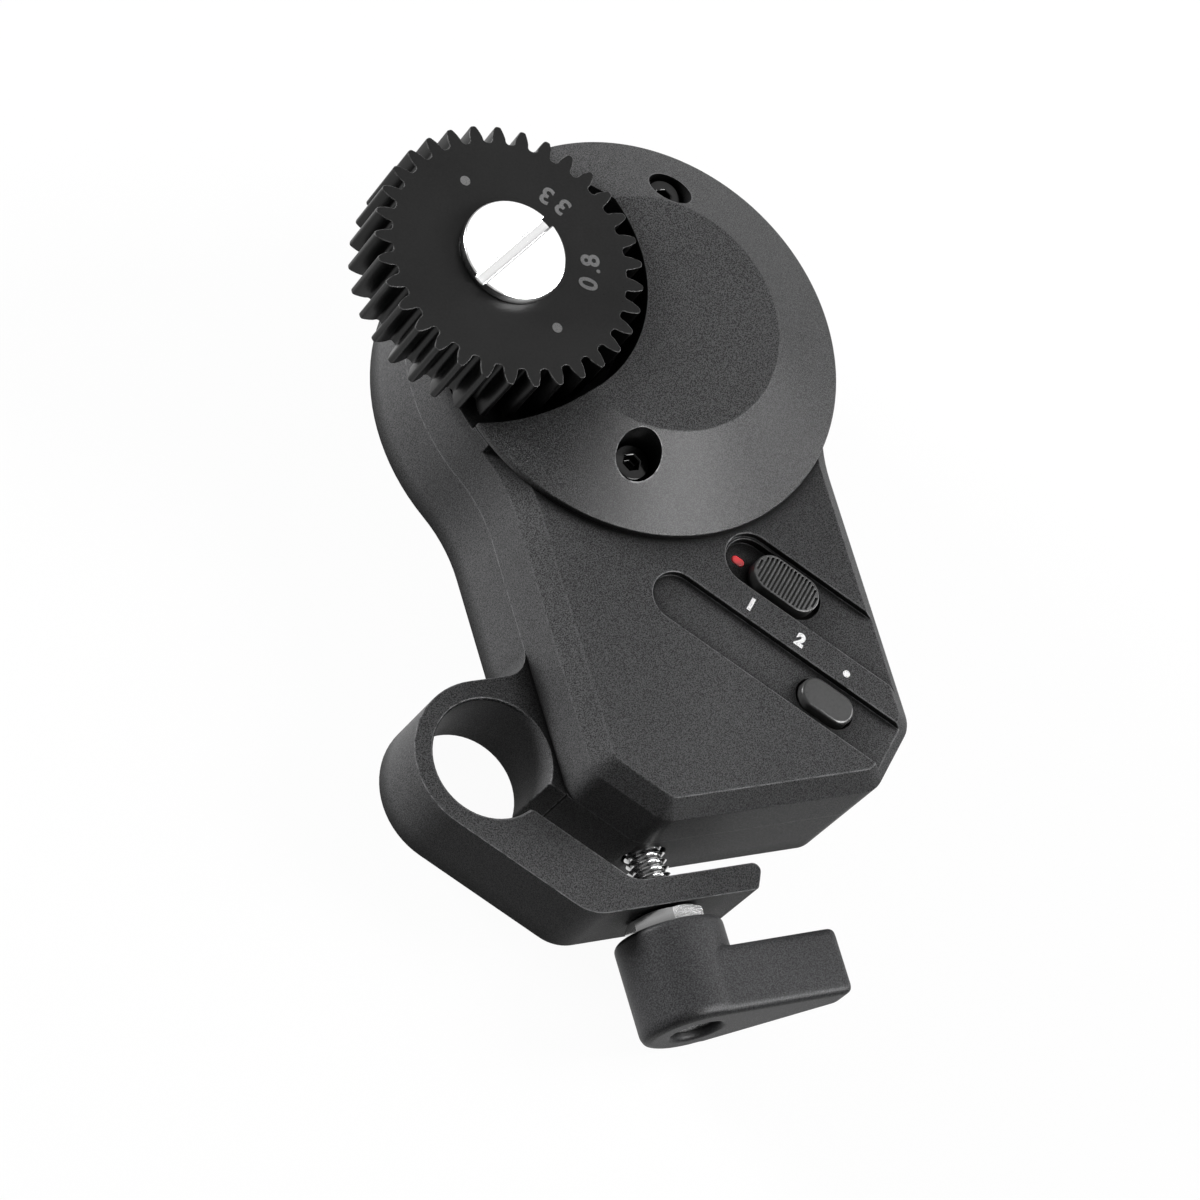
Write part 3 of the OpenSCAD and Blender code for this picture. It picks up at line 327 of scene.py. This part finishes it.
# Motor cap
# Cone over the motor with a crescent cut out for the gear. Turned from aluminium, blasted and
# anodised like the case, a little glossier; two screws hold it from the front.
CAP_AT = Vector((0.02435, 0.03825, 0))
GEAR_AT = Vector((0.00915, 0.0451, 0))
BARREL_R, FLAT_R = 0.0215, 0.0127
RIM_Z, FLAT_Z = 0.0179, 0.0231
POCKET_R = 0.01505
CAP_WALL, RIM_WALL, FLAT_WALL, RECESS_WALL = 0.0015, 0.0009, 0.0018, 0.0012
RECESS_R, SCREW_HOLE_R = 0.0023, 0.0011
SEAT_Z = 0.0179
CUT_LOW, HOLLOW_LOW, CUT_HIGH = 0.015, 0.016, 0.025
CAP_SCREW_TURN = math.atan2(0.00685, -0.0152) - math.pi / 2
CAP_SCREW_REACH = Vector((math.cos(CAP_SCREW_TURN), math.sin(CAP_SCREW_TURN), 0)) * 0.01525
CAP_SCREWS = [CAP_AT - CAP_SCREW_REACH, CAP_AT + CAP_SCREW_REACH]


def turned(profile, at, steps):
    """A form turned on the lathe: (radius, height) points spun about an upright line through at."""
    bm = bmesh.new()
    line = [bm.verts.new((at.x + r, at.y, z)) for r, z in profile]
    edges = [bm.edges.new(pair) for pair in zip(line, line[1:])]
    bmesh.ops.spin(
        bm, geom=line + edges, cent=at, axis=(0, 0, 1), angle=math.tau, steps=steps, use_merge=True
    )
    bmesh.ops.remove_doubles(bm, verts=bm.verts, dist=MERGE)
    bmesh.ops.recalc_face_normals(bm, faces=bm.faces)
    return bm


def rod(at, radius, low, high, segments=96):
    """An upright round bar at a point of the plan."""
    bm = bmesh.new()
    bmesh.ops.create_cone(
        bm, cap_ends=True, segments=segments, radius1=radius, radius2=radius, depth=high - low,
        matrix=Matrix.Translation((at.x, at.y, (low + high) / 2)),
    )
    return bm


def carved(solid, *tools, operation="DIFFERENCE"):
    """solid with the tools cut out of it, or joined to it."""
    for tool in tools:
        pair = []
        for bm in (solid, tool):
            mesh = bpy.data.meshes.new("blank")
            bm.to_mesh(mesh)
            bm.free()
            pair.append(bpy.data.objects.new("blank", mesh))
            bpy.context.scene.collection.objects.link(pair[-1])
        cut = pair[0].modifiers.new("cut", "BOOLEAN")
        cut.operation, cut.solver, cut.object = operation, "EXACT", pair[1]
        solid = bmesh.new()
        solid.from_object(pair[0], bpy.context.evaluated_depsgraph_get())
        for blank in pair:
            bpy.data.objects.remove(blank)
    bmesh.ops.remove_doubles(solid, verts=solid.verts, dist=MERGE)
    bmesh.ops.dissolve_limit(solid, angle_limit=math.radians(0.2), verts=solid.verts, edges=solid.edges)
    return solid


STEPS = 256
hollow = turned(
    [(0, HOLLOW_LOW), (BARREL_R - CAP_WALL, HOLLOW_LOW), (BARREL_R - CAP_WALL, RIM_Z - RIM_WALL),
     (FLAT_R - 0.0002, FLAT_Z - FLAT_WALL), (0, FLAT_Z - FLAT_WALL)], CAP_AT, STEPS,
)
hollow = carved(
    hollow, rod(GEAR_AT, POCKET_R + CAP_WALL, CUT_LOW, CUT_HIGH, STEPS),
    *(rod(at, RECESS_R + RECESS_WALL, CUT_LOW, CUT_HIGH) for at in CAP_SCREWS),
)
cone = turned(
    [(0, PLATE_Z), (BARREL_R, PLATE_Z), (BARREL_R, RIM_Z), (FLAT_R, FLAT_Z), (0, FLAT_Z)], CAP_AT, STEPS
)
cone = carved(
    cone, rod(GEAR_AT, POCKET_R, CUT_LOW, CUT_HIGH, STEPS), hollow,
    *(rod(at, RECESS_R, SEAT_Z, CUT_HIGH) for at in CAP_SCREWS),
    *(rod(at, SCREW_HOLE_R, CUT_LOW, CUT_HIGH, 32) for at in CAP_SCREWS),
)


def in_recess(edge):
    """True for the edges on the two screw recesses' walls."""
    flat = [v.co * Vector((1, 1, 0)) for v in edge.verts]
    return any(all((v - at).length < RECESS_R + MERGE for v in flat) for at in CAP_SCREWS)


soften(cone, EDGE_R, pick=lambda edge: not in_recess(edge))
cap_black = blasted("cap black", 0.046, grain=0.00012, rough=0.4, specular=0.12, contrast=3.2, depth=5e-5)
cap = piece(cone, "cone_cap", cap_black)
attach(cap, "housing")
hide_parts("motor_cap")

# Cap screws and case screws
# Socket head screws of blackened steel: two deep in the cone's recesses, four in the back.
def machined(
    name, level, rough=0.25, grain=2500, stretch=(1, 1, 1), depth=6e-6, tint=(1, 1, 1), stains=1.0
):
    """Bare or plated metal with fine tool marks, stretched where it was turned, faint stains, and shade
    painted into gaps and corners.
    """
    material, wire = new_material(name)
    place = wire.node("ShaderNodeTexCoord", out=3)
    at = wire.node("ShaderNodeMapping", (), {"Vector": place, "Scale": stretch})
    marks = noise(at, grain, 3, 0.6)
    stain = noise(place, 220, 3)
    low, high = ([level * share * t for t in tint] + [1] for share in (1 - 0.18 * stains, 1 + 0.06 * stains))
    colour = (marks * 0.5 + stain * 0.5).between(0.3, 0.7).mix(low, high)
    finish_surface(wire, marks, depth, 0.35, {
        # Painted shade: the colour darkens in gaps and corners.
        "Base Color": painted_shade_mask(wire, 0.001).mix([level * 0.3 * t for t in tint] + [1], colour),
        "Roughness": rough + (marks - 0.5) * 0.2 + (stain - 0.5) * (0.15 * stains),
        "Metallic": 1.0,
    })
    return material


HEAD_EDGE_R = 0.00018
screw_steel = machined("blackened screw steel", 0.03, rough=0.14)
for node, name in (("cap_screws", "cap_screws_black"), ("case_screws", "case_screws_black")):
    heads = merged(node)
    soften(heads, HEAD_EDGE_R, 3, sharp=math.radians(40))
    screws = piece(heads, name, screw_steel)
    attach(screws, "housing")
    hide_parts(node)

# Drive gear
# 0.8 module gear, 33 teeth, moulded in a hard black polymer. Its figures are laser marked.
GEAR_TOP = 0.02455
ROOT_R, BASE_R, TIP_R = 0.0122, 0.012404, 0.014
NEAR = 3e-5
TIP_EDGE_R, ROOT_EDGE_R, FACE_EDGE_R = 0.00017, 0.00032, 0.00006
FIGURE_SIZE, FIGURE_BOLD, POINT_R, LASER_DOT_R = 0.0027, 0.025, 0.0002, 0.00052


def smooth_polymer(
    name, level, rough=0.42, specular=0.3, grain=0.00025, depth=6e-6, tint=(1, 1, 1), edge=0.0, reach=0.0006
):
    """Moulded plastic: near smooth, with faint flow clouds; where edge is given, edges painted towards the
    grey level edge as rubbed wear and highlight, and shade painted into gaps and corners narrower than reach.
    """
    material, wire = new_material(name)
    at = wire.node("ShaderNodeTexCoord", out=3)
    fine = noise(at, 1 / grain, 2)
    cloud = noise(at, 130, 3)
    low, high = ([level * share * t for t in tint] + [1] for share in (0.8, 1.25))
    colour = (fine * 0.4 + cloud * 0.6).between(0.3, 0.7).mix(low, high)
    if edge:
        # Painted highlight and wear on the edges, then painted shade in gaps and corners.
        colour = wear_and_edge_highlight(at, 0.00012).mix(colour, grey(edge))
        colour = painted_shade_mask(wire, reach).mix(grey(0.001), colour)
    finish_surface(wire, fine, depth, 0.4, {
        "Base Color": colour,
        "Roughness": rough + (fine - 0.5) * 0.15 + (cloud - 0.5) * 0.12,
        "Specular IOR Level": specular,
    })
    return material


def upright(low, high):
    """Picks the upright edges of the gear whose distance from its axis is between low and high."""

    def pick(edge):
        a, b = (v.co for v in edge.verts)
        reach = math.hypot(a.x - GEAR_AT.x, a.y - GEAR_AT.y)
        return (a - b).xy.length < 1e-6 and low < reach < high

    return pick


# edge sets the grey of the painted edge highlight and wear; reach sets how far the painted shade goes into
# gaps.
gear_black = smooth_polymer("gear black", 0.0095, rough=0.33, specular=0.15, edge=0.14, reach=0.003)
gear = merged("drive_gear")
base_lines = [e for e in gear.edges if upright(BASE_R - 2e-5, BASE_R + 2e-5)(e)]
bmesh.ops.dissolve_edges(gear, edges=base_lines, use_verts=True)
soften(gear, TIP_EDGE_R, 3, upright(TIP_R - NEAR, TIP_R + NEAR), math.radians(20))
soften(gear, ROOT_EDGE_R, 4, upright(ROOT_R - NEAR, ROOT_R + NEAR), math.radians(20))
soften(gear, FACE_EDGE_R, 2, lambda e: abs(e.verts[0].co.z - e.verts[1].co.z) < 1e-6, math.radians(50))
gear_piece = piece(gear, "drive_gear_black", gear_black)
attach(gear_piece, "gear")
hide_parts("drive_gear")
laser_grey = ink("laser grey", 0.15)
for text, name, angle, reach in (
    ("0", "mark_gear_0", -27.0, 0.00835), ("8", "mark_gear_8", -9.0, 0.00853),
    ("3", "mark_gear_3a", 33.0, 0.0086), ("3", "mark_gear_3b", 46.0, 0.0084),
):
    turn = math.radians(angle)
    at = (GEAR_AT.x + reach * math.cos(turn), GEAR_AT.y + reach * math.sin(turn))
    mark = figure(text, name, FIGURE_SIZE, at, turn + math.pi / 2, GEAR_TOP, laser_grey, FIGURE_BOLD)
    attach(mark, "gear")
for name, x, y, r in (
    ("mark_gear_point", 0.00884, -0.00254, POINT_R), ("mark_gear_dot_a", -0.00242, 0.00822, LASER_DOT_R),
    ("mark_gear_dot_b", 0.00259, -0.00804, LASER_DOT_R),
):
    mark = piece(rod(GEAR_AT + Vector((x, y, 0)), r, GEAR_TOP, GEAR_TOP + PRINT_UP, 32), name, laser_grey)
    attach(mark, "gear")

# Gear screw
# Wide slotted screw that holds the gear on its shaft, turned from bright steel.
bright_steel = machined("bright steel", 0.94, rough=0.2, grain=1800, depth=2e-6, stains=0.15)
GEAR_SCREW_EDGE_R = 0.00016
head = merged("gear_screw")
soften(head, GEAR_SCREW_EDGE_R, 3, sharp=math.radians(40))
gear_screw = piece(head, "gear_screw_bright", bright_steel)
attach(gear_screw, "gear")
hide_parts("gear_screw")

# Slide knob
# Oval knob that slides in the upper lane's well, moulded in black polymer. Its top is crossed by fine
# ribs inside a narrow rim, and its stem reaches down to the switch on the board.
LANE = Vector((math.sqrt(0.5), -math.sqrt(0.5), 0))
low, high = (Vector(corner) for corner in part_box("slide_knob"))
KNOB_AT, KNOB_TOP, KNOB_LOW = (low + high) / 2, high.z, 0.01555
KNOB_L, KNOB_W, KNOB_RIM = 0.0074, 0.00395, 0.00022
GROOVES, GROOVE_DEPTH, GROOVE_SHARE = 16, 0.00026, 0.5
KNOB_EDGE_R, RIB_EDGE_R = 0.00014, 0.00005
PAST = 0.001


def bar(middle, length, width, low, high):
    """A block that lies along the lanes."""
    bm = bmesh.new()
    place = Matrix.Translation((middle.x, middle.y, (low + high) / 2))
    size = Matrix.Diagonal((length, width, high - low, 1))
    bmesh.ops.create_cube(bm, size=1, matrix=place @ Matrix.Rotation(PRINT_TURN, 4, "Z") @ size)
    return bm


# edge sets the grey of the painted edge highlight and wear; painted shade goes into the gaps between its
# ribs.
knob_black = smooth_polymer("knob black", 0.07, rough=0.36, specular=0.3, grain=0.00012, depth=8e-6, edge=0.1)
ends = [
    rod(KNOB_AT + LANE * side * (KNOB_L - KNOB_W) / 2, KNOB_W / 2, KNOB_LOW, KNOB_TOP) for side in (-1, 1)
]
ribbed = carved(bar(KNOB_AT, KNOB_L - KNOB_W, KNOB_W, KNOB_LOW, KNOB_TOP), *ends, operation="UNION")
soften(ribbed, KNOB_EDGE_R, 3, lambda e: min(v.co.z for v in e.verts) > KNOB_TOP - MERGE, math.radians(60))
pitch = (KNOB_L - 2 * KNOB_RIM) / GROOVES
grooves = []
for i in range(GROOVES):
    along = (i + 0.5) * pitch - KNOB_L / 2 + KNOB_RIM
    over_end = max(abs(along) + pitch * GROOVE_SHARE / 2 - (KNOB_L - KNOB_W) / 2, 0)
    reach = math.sqrt(max((KNOB_W / 2 - KNOB_RIM) ** 2 - over_end ** 2, 0))
    if reach > pitch / 2:
        middle = KNOB_AT + LANE * along
        low, high = KNOB_TOP - GROOVE_DEPTH, KNOB_TOP + PAST
        grooves.append(bar(middle, pitch * GROOVE_SHARE, 2 * reach, low, high))
ribbed = carved(ribbed, *grooves)
soften(ribbed, RIB_EDGE_R, 2, lambda e: min(v.co.z for v in e.verts) > KNOB_TOP - MERGE, math.radians(60))
knob = piece(ribbed, "slide_knob_ribbed", knob_black)
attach(knob, "knob")
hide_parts("slide_knob")

# Push button
# Oval button in the lower lane, moulded in black polymer with a rounded upper edge. A flange under the
# plate keeps it in, and a pin on it presses the switch on the board.
BUTTON_EDGE_R = 0.00034
button_black = smooth_polymer("button black", 0.045, rough=0.3, specular=0.33, grain=0.0003, depth=3e-6)
pusher = merged("push_button")
button_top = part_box("push_button")[1][2]
soften(
    pusher, BUTTON_EDGE_R, 5, lambda e: min(v.co.z for v in e.verts) > button_top - MERGE, math.radians(40)
)
button = piece(pusher, "push_button_oval", button_black)
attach(button, "button")
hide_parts("push_button")

# Red mark
# Drop of red enamel at the end of the switch's well; it shows when the knob stands at the far end.
DROP_EDGE_R, DROP_LOW = 0.0001, 0.0152
red = smooth_polymer("red enamel", 1.0, rough=0.3, specular=0.5, tint=(1, 0.035, 0.045))
drop = merged("red_mark")
soften(drop, DROP_EDGE_R, 3, lambda e: min(v.co.z for v in e.verts) > DROP_LOW, math.radians(40))
red_drop = piece(drop, "red_mark_enamel", red)
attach(red_drop, "housing")
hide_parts("red_mark")

# Clamp screw
# Steel screw that closes the rod clamp: rolled thread, hexagonal collar with a turned chamfer, and the
# thin shank that carries the lever's spring. It is made upright and then laid along the housing.
SCREW_X, SCREW_Z = 0.0148, 0.0056
THREAD_TOP, THREAD_END, COLLAR_END, SHANK_END = -0.0047, -0.017, -0.0212, -0.027
THREAD_R, CORE_R, CREST_DROP, PITCH, TURN_STEPS = 0.002, 0.00158, 0.00004, 0.0007, 48
COLLAR_AF, COLLAR_TURN, COLLAR_EDGE_R = 0.007, math.radians(12), 0.00004
SHANK_R = 0.0015
AXIS = Vector((0, 0, 0))
laid = Matrix.Translation((SCREW_X, 0, SCREW_Z)) @ Matrix.Rotation(math.radians(-90), 4, "X")
clamp_steel = machined(
    "clamp screw steel", 0.8, rough=0.14, grain=1600, stretch=(1, 4, 1), depth=4e-7, stains=0.1
)
turns = math.ceil((THREAD_TOP - THREAD_END) / PITCH) + 2
thread = bmesh.new()
line = [thread.verts.new((r, 0, THREAD_END - PITCH + share * PITCH)) for r, share in (
    (CORE_R, 0), (CORE_R, 0.16), (THREAD_R - CREST_DROP, 0.5), (THREAD_R, 0.56),
    (THREAD_R - CREST_DROP, 0.62), (CORE_R, 0.96), (CORE_R, 1),
)]
edges = [thread.edges.new(pair) for pair in zip(line, line[1:])]
bmesh.ops.spin(
    thread, geom=line + edges, cent=AXIS, axis=(0, 0, 1), dvec=(0, 0, PITCH / TURN_STEPS),
    angle=math.tau * turns, steps=TURN_STEPS * turns,
)
bmesh.ops.remove_doubles(thread, verts=thread.verts, dist=MERGE)
for height, side in ((THREAD_TOP, 1), (THREAD_END, -1)):
    cut = bmesh.ops.bisect_plane(
        thread, geom=thread.verts[:] + thread.edges[:] + thread.faces[:], plane_co=(0, 0, height),
        plane_no=(0, 0, side), clear_outer=True,
    )
    rim = [e for e in cut["geom_cut"] if isinstance(e, bmesh.types.BMEdge)]
    bmesh.ops.contextual_create(thread, geom=rim)
bmesh.ops.recalc_face_normals(thread, faces=thread.faces)
blank = bmesh.new()
bmesh.ops.create_cone(
    blank, cap_ends=True, segments=6, radius1=COLLAR_AF / math.sqrt(3), radius2=COLLAR_AF / math.sqrt(3),
    depth=THREAD_END - COLLAR_END, matrix=Matrix.Translation((0, 0, (THREAD_END + COLLAR_END) / 2))
    @ Matrix.Rotation(-COLLAR_TURN, 4, "Z"),
)
collar = carved(blank, turned([
    (0, COLLAR_END), (0.0036, COLLAR_END), (0.0042, COLLAR_END + 0.0003), (0.0042, THREAD_END - 0.0004),
    (0.00335, THREAD_END), (0, THREAD_END),
], AXIS, 96), operation="INTERSECT")
soften(collar, COLLAR_EDGE_R, 1)
shank = rod(AXIS, SHANK_R, SHANK_END, COLLAR_END + 0.0001, 64)
for bm in (collar, shank):
    part = bpy.data.meshes.new("part")
    bm.to_mesh(part)
    bm.free()
    thread.from_mesh(part)
bmesh.ops.transform(thread, matrix=laid, verts=thread.verts)
clamp_screw = piece(thread, "clamp_screw_steel", clamp_steel)
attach(clamp_screw, "clamp_screw")
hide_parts("clamp_screw")

# Clamp lever
# Cast zinc lever, powder coated dark grey: a round hub over the hexagon, flowing into a handle that
# thins out to its tip. Joined and bored as a sharp form, then melted to the soft edges of a casting.
HUB_R, HUB_TOP, HUB_END = 0.00545, -0.0187, -0.0288
HANDLE_TOP, TIP_X, HANDLE_EDGE_R, CAST_GRAIN = -0.0221, 0.0151, 0.0007, 0.00015
FOOT_TURN = math.radians(-63.1)
HOLE_R, WEB_HOLE_R, WEB_END = 0.0025, 0.00155, -0.0227
SOCKET_AF, SOCKET_LOW, SOCKET_DEPTH = 0.00715, -0.0215, 0.0035
MELT_PASSES = 6
lever_grey = blasted("lever grey", 0.046, grain=0.00014, rough=0.45, specular=0.1, contrast=0.8, blue=0.04)


hub = turned([
    (0, HUB_END), (HUB_R - 0.0009, HUB_END), (HUB_R - 0.00026, HUB_END + 0.00026), (HUB_R, HUB_END + 0.0009),
    (HUB_R, HUB_TOP - 0.0004), (HUB_R - 0.0004, HUB_TOP), (0, HUB_TOP),
], AXIS, 160)
handle = bmesh.new()
foot = HUB_R * math.cos(FOOT_TURN), HUB_R * math.sin(FOOT_TURN)
outline = [handle.verts.new((x, -z, HANDLE_TOP)) for x, z in (
    (0, HUB_R - 0.0002), (0, -0.003), foot, (TIP_X, 0.00155), (TIP_X, HUB_R - 0.0002),
)]
top = handle.faces.new(outline)
grown = bmesh.ops.extrude_face_region(handle, geom=[top])["geom"]
bmesh.ops.translate(
    handle, verts=[v for v in grown if isinstance(v, bmesh.types.BMVert)], vec=(0, 0, HUB_END - HANDLE_TOP)
)
bmesh.ops.recalc_face_normals(handle, faces=handle.faces)


def on_tip_or_rim(edge):
    """True for the handle's tip and for the outlines of its two broad faces."""
    a, b = (v.co for v in edge.verts)
    return max(a.x, b.x) > TIP_X - MERGE or abs(a.z - b.z) < MERGE


soften(handle, HANDLE_EDGE_R, 5, on_tip_or_rim, math.radians(10))
bore = turned([
    (0, HUB_END - PAST), (0.0028, HUB_END - PAST), (0.0028, HUB_END), (HOLE_R, HUB_END + 0.0003),
    (HOLE_R, WEB_END), (WEB_HOLE_R, WEB_END), (WEB_HOLE_R, HUB_TOP + PAST), (0, HUB_TOP + PAST),
], AXIS, 96)
socket = bmesh.new()
bmesh.ops.create_cone(
    socket, cap_ends=True, segments=6, radius1=SOCKET_AF / math.sqrt(3), radius2=SOCKET_AF / math.sqrt(3),
    depth=SOCKET_DEPTH, matrix=Matrix.Translation((0, 0, SOCKET_LOW + SOCKET_DEPTH / 2))
    @ Matrix.Rotation(-COLLAR_TURN, 4, "Z"),
)
cast = carved(carved(hub, handle, operation="UNION"), bore, socket)
block = bpy.data.objects.new("block", bpy.data.meshes.new("block"))
bmesh.ops.transform(cast, matrix=laid, verts=cast.verts)
cast.to_mesh(block.data)
cast.free()
bpy.context.scene.collection.objects.link(block)
melt = block.modifiers.new("melt", "REMESH")
melt.mode, melt.voxel_size = "VOXEL", CAST_GRAIN
cast = bmesh.new()
cast.from_object(block, bpy.context.evaluated_depsgraph_get())
bpy.data.objects.remove(block)
for _ in range(MELT_PASSES):
    bmesh.ops.smooth_vert(
        cast, verts=cast.verts, factor=0.5, use_axis_x=True, use_axis_y=True, use_axis_z=True
    )
lever_piece = piece(cast, "clamp_lever_cast", lever_grey)
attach(lever_piece, "lever")
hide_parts("clamp_lever")

# Parts inside and in the hub's end
# Everything else keeps its CAD shape and gets the finish of the real thing.
brass = machined("gear brass", 0.75, rough=0.3, tint=(1, 0.78, 0.42))
gear_steel = machined("shaft steel", 0.6, rough=0.25)
board_green = smooth_polymer("board green", 0.12, rough=0.35, tint=(0.25, 1, 0.5))
inner_black = smooth_polymer("switch black", 0.05)
pale = smooth_polymer("pale plastic", 0.7, tint=(1, 0.96, 0.86))
plated = machined("zinc plate", 0.62, rough=0.32, grain=1200)
for material, names in {
    brass: ("thread_insert", "compound_gear_b", "compound_gear_a"),
    gear_steel: ("output_shaft", "upper_bearing", "lower_bearing", "gear_pins", "motor_rotor"),
    plated: ("gearbox_plate", "motor_can", "usb_socket"),
    bright_steel: ("lever_screw",),
    screw_steel: ("plate_screws", "motor_screws", "board_screws"),
    board_green: ("circuit_board",),
    inner_black: ("board_chips", "slide_switch", "tact_switch"),
    pale: ("switch_slider", "tact_plunger"),
}.items():
    for name in names:
        nodes[name].data.materials.clear()
        nodes[name].data.materials.append(material)

# Lever spring
# Coil spring of steel wire that pushes the lever back onto the hexagon; it shortens towards the screw's
# head as the lever is pulled out.
spring = piece(merged("lever_spring"), "lever_spring_wire", gear_steel)
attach(spring, "clamp_screw")
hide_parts("lever_spring")
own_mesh(spring)

# Studio
# White table and room for the camera and for reflections, plain soft light for everything else.
world = bpy.data.worlds.new("studio")
bpy.context.scene.world = world
world.use_nodes = True
world.node_tree.nodes.clear()
sky = Wire(world.node_tree)


def seen(wire, mirrored=1.0):
    """1 for rays from the camera or let through by a surface, and mirrored for those that it reflects."""
    rays = wire.tree.nodes.new("ShaderNodeLightPath")
    camera_ray, glossy, through = (
        Wire(wire.tree, rays.outputs[name])
        for name in ("Is Camera Ray", "Is Glossy Ray", "Is Transmission Ray")
    )
    return camera_ray.math("MINIMUM", camera_ray + glossy * mirrored + through, 1)


ROOM_LEVEL, ROOM_MIRRORED = 0.08, 0.3
TABLE_LIT, TABLE_GLOW, TABLE_HALF = 0.2, 0.96, 1.5
room = seen(sky, ROOM_MIRRORED) * (1 - ROOM_LEVEL) + ROOM_LEVEL
background = sky.node("ShaderNodeBackground", (), {"Color": grey(1), "Strength": room})
sky.node("ShaderNodeOutputWorld", (), {"Surface": background})
table_material, wire = new_material("white table")
lit = wire.node("ShaderNodeBsdfDiffuse", (), {"Color": seen(wire).mix(grey(TABLE_LIT), grey(1))})
glow = wire.node("ShaderNodeEmission", (), {"Color": grey(1), "Strength": 1.0})
wire.node("ShaderNodeOutputMaterial", (), {"Surface": wire.node(
    "ShaderNodeMixShader", (), {0: seen(wire) * TABLE_GLOW, 1: lit, 2: glow}
)})
table = bmesh.new()
bmesh.ops.create_grid(table, x_segments=1, y_segments=1, size=TABLE_HALF)
floor = bpy.data.objects.new("table", bpy.data.meshes.new("table"))
table.to_mesh(floor.data)
table.free()
floor.data.materials.append(table_material)
bpy.context.scene.collection.objects.link(floor)
MIDDLE = Vector((0.021, 0.016, 0.01))
for name, direction, distance, size, level, matt, mirrored in (
    ("left softbox", (-0.7, 0.75, 0.2), 0.6, 0.2, 1.75, True, True),
    ("right softbox", (0.85, -0.1, 0.5), 0.6, 0.25, 0.98, True, True),
    ("top softbox", (0.476, 0.299, 0.827), 0.7, 0.55, 0.18, True, True),
    ("glow softbox", (0.33, -0.58, 0.74), 0.4, 0.28, 4.2, False, True),
):
    lamp = bpy.data.lights.new(name, "AREA")
    lamp.size, lamp.energy = size, level * (math.pi * distance) ** 2
    holder = bpy.data.objects.new(name, lamp)
    holder.visible_camera, holder.visible_diffuse, holder.visible_glossy = False, matt, mirrored
    away = Vector(direction).normalized()
    holder.location = MIDDLE + away * distance
    holder.rotation_mode = "QUATERNION"
    holder.rotation_quaternion = away.to_track_quat("Z", "Y")
    bpy.context.scene.collection.objects.link(holder)
bpy.context.scene.view_settings.view_transform = "Standard"
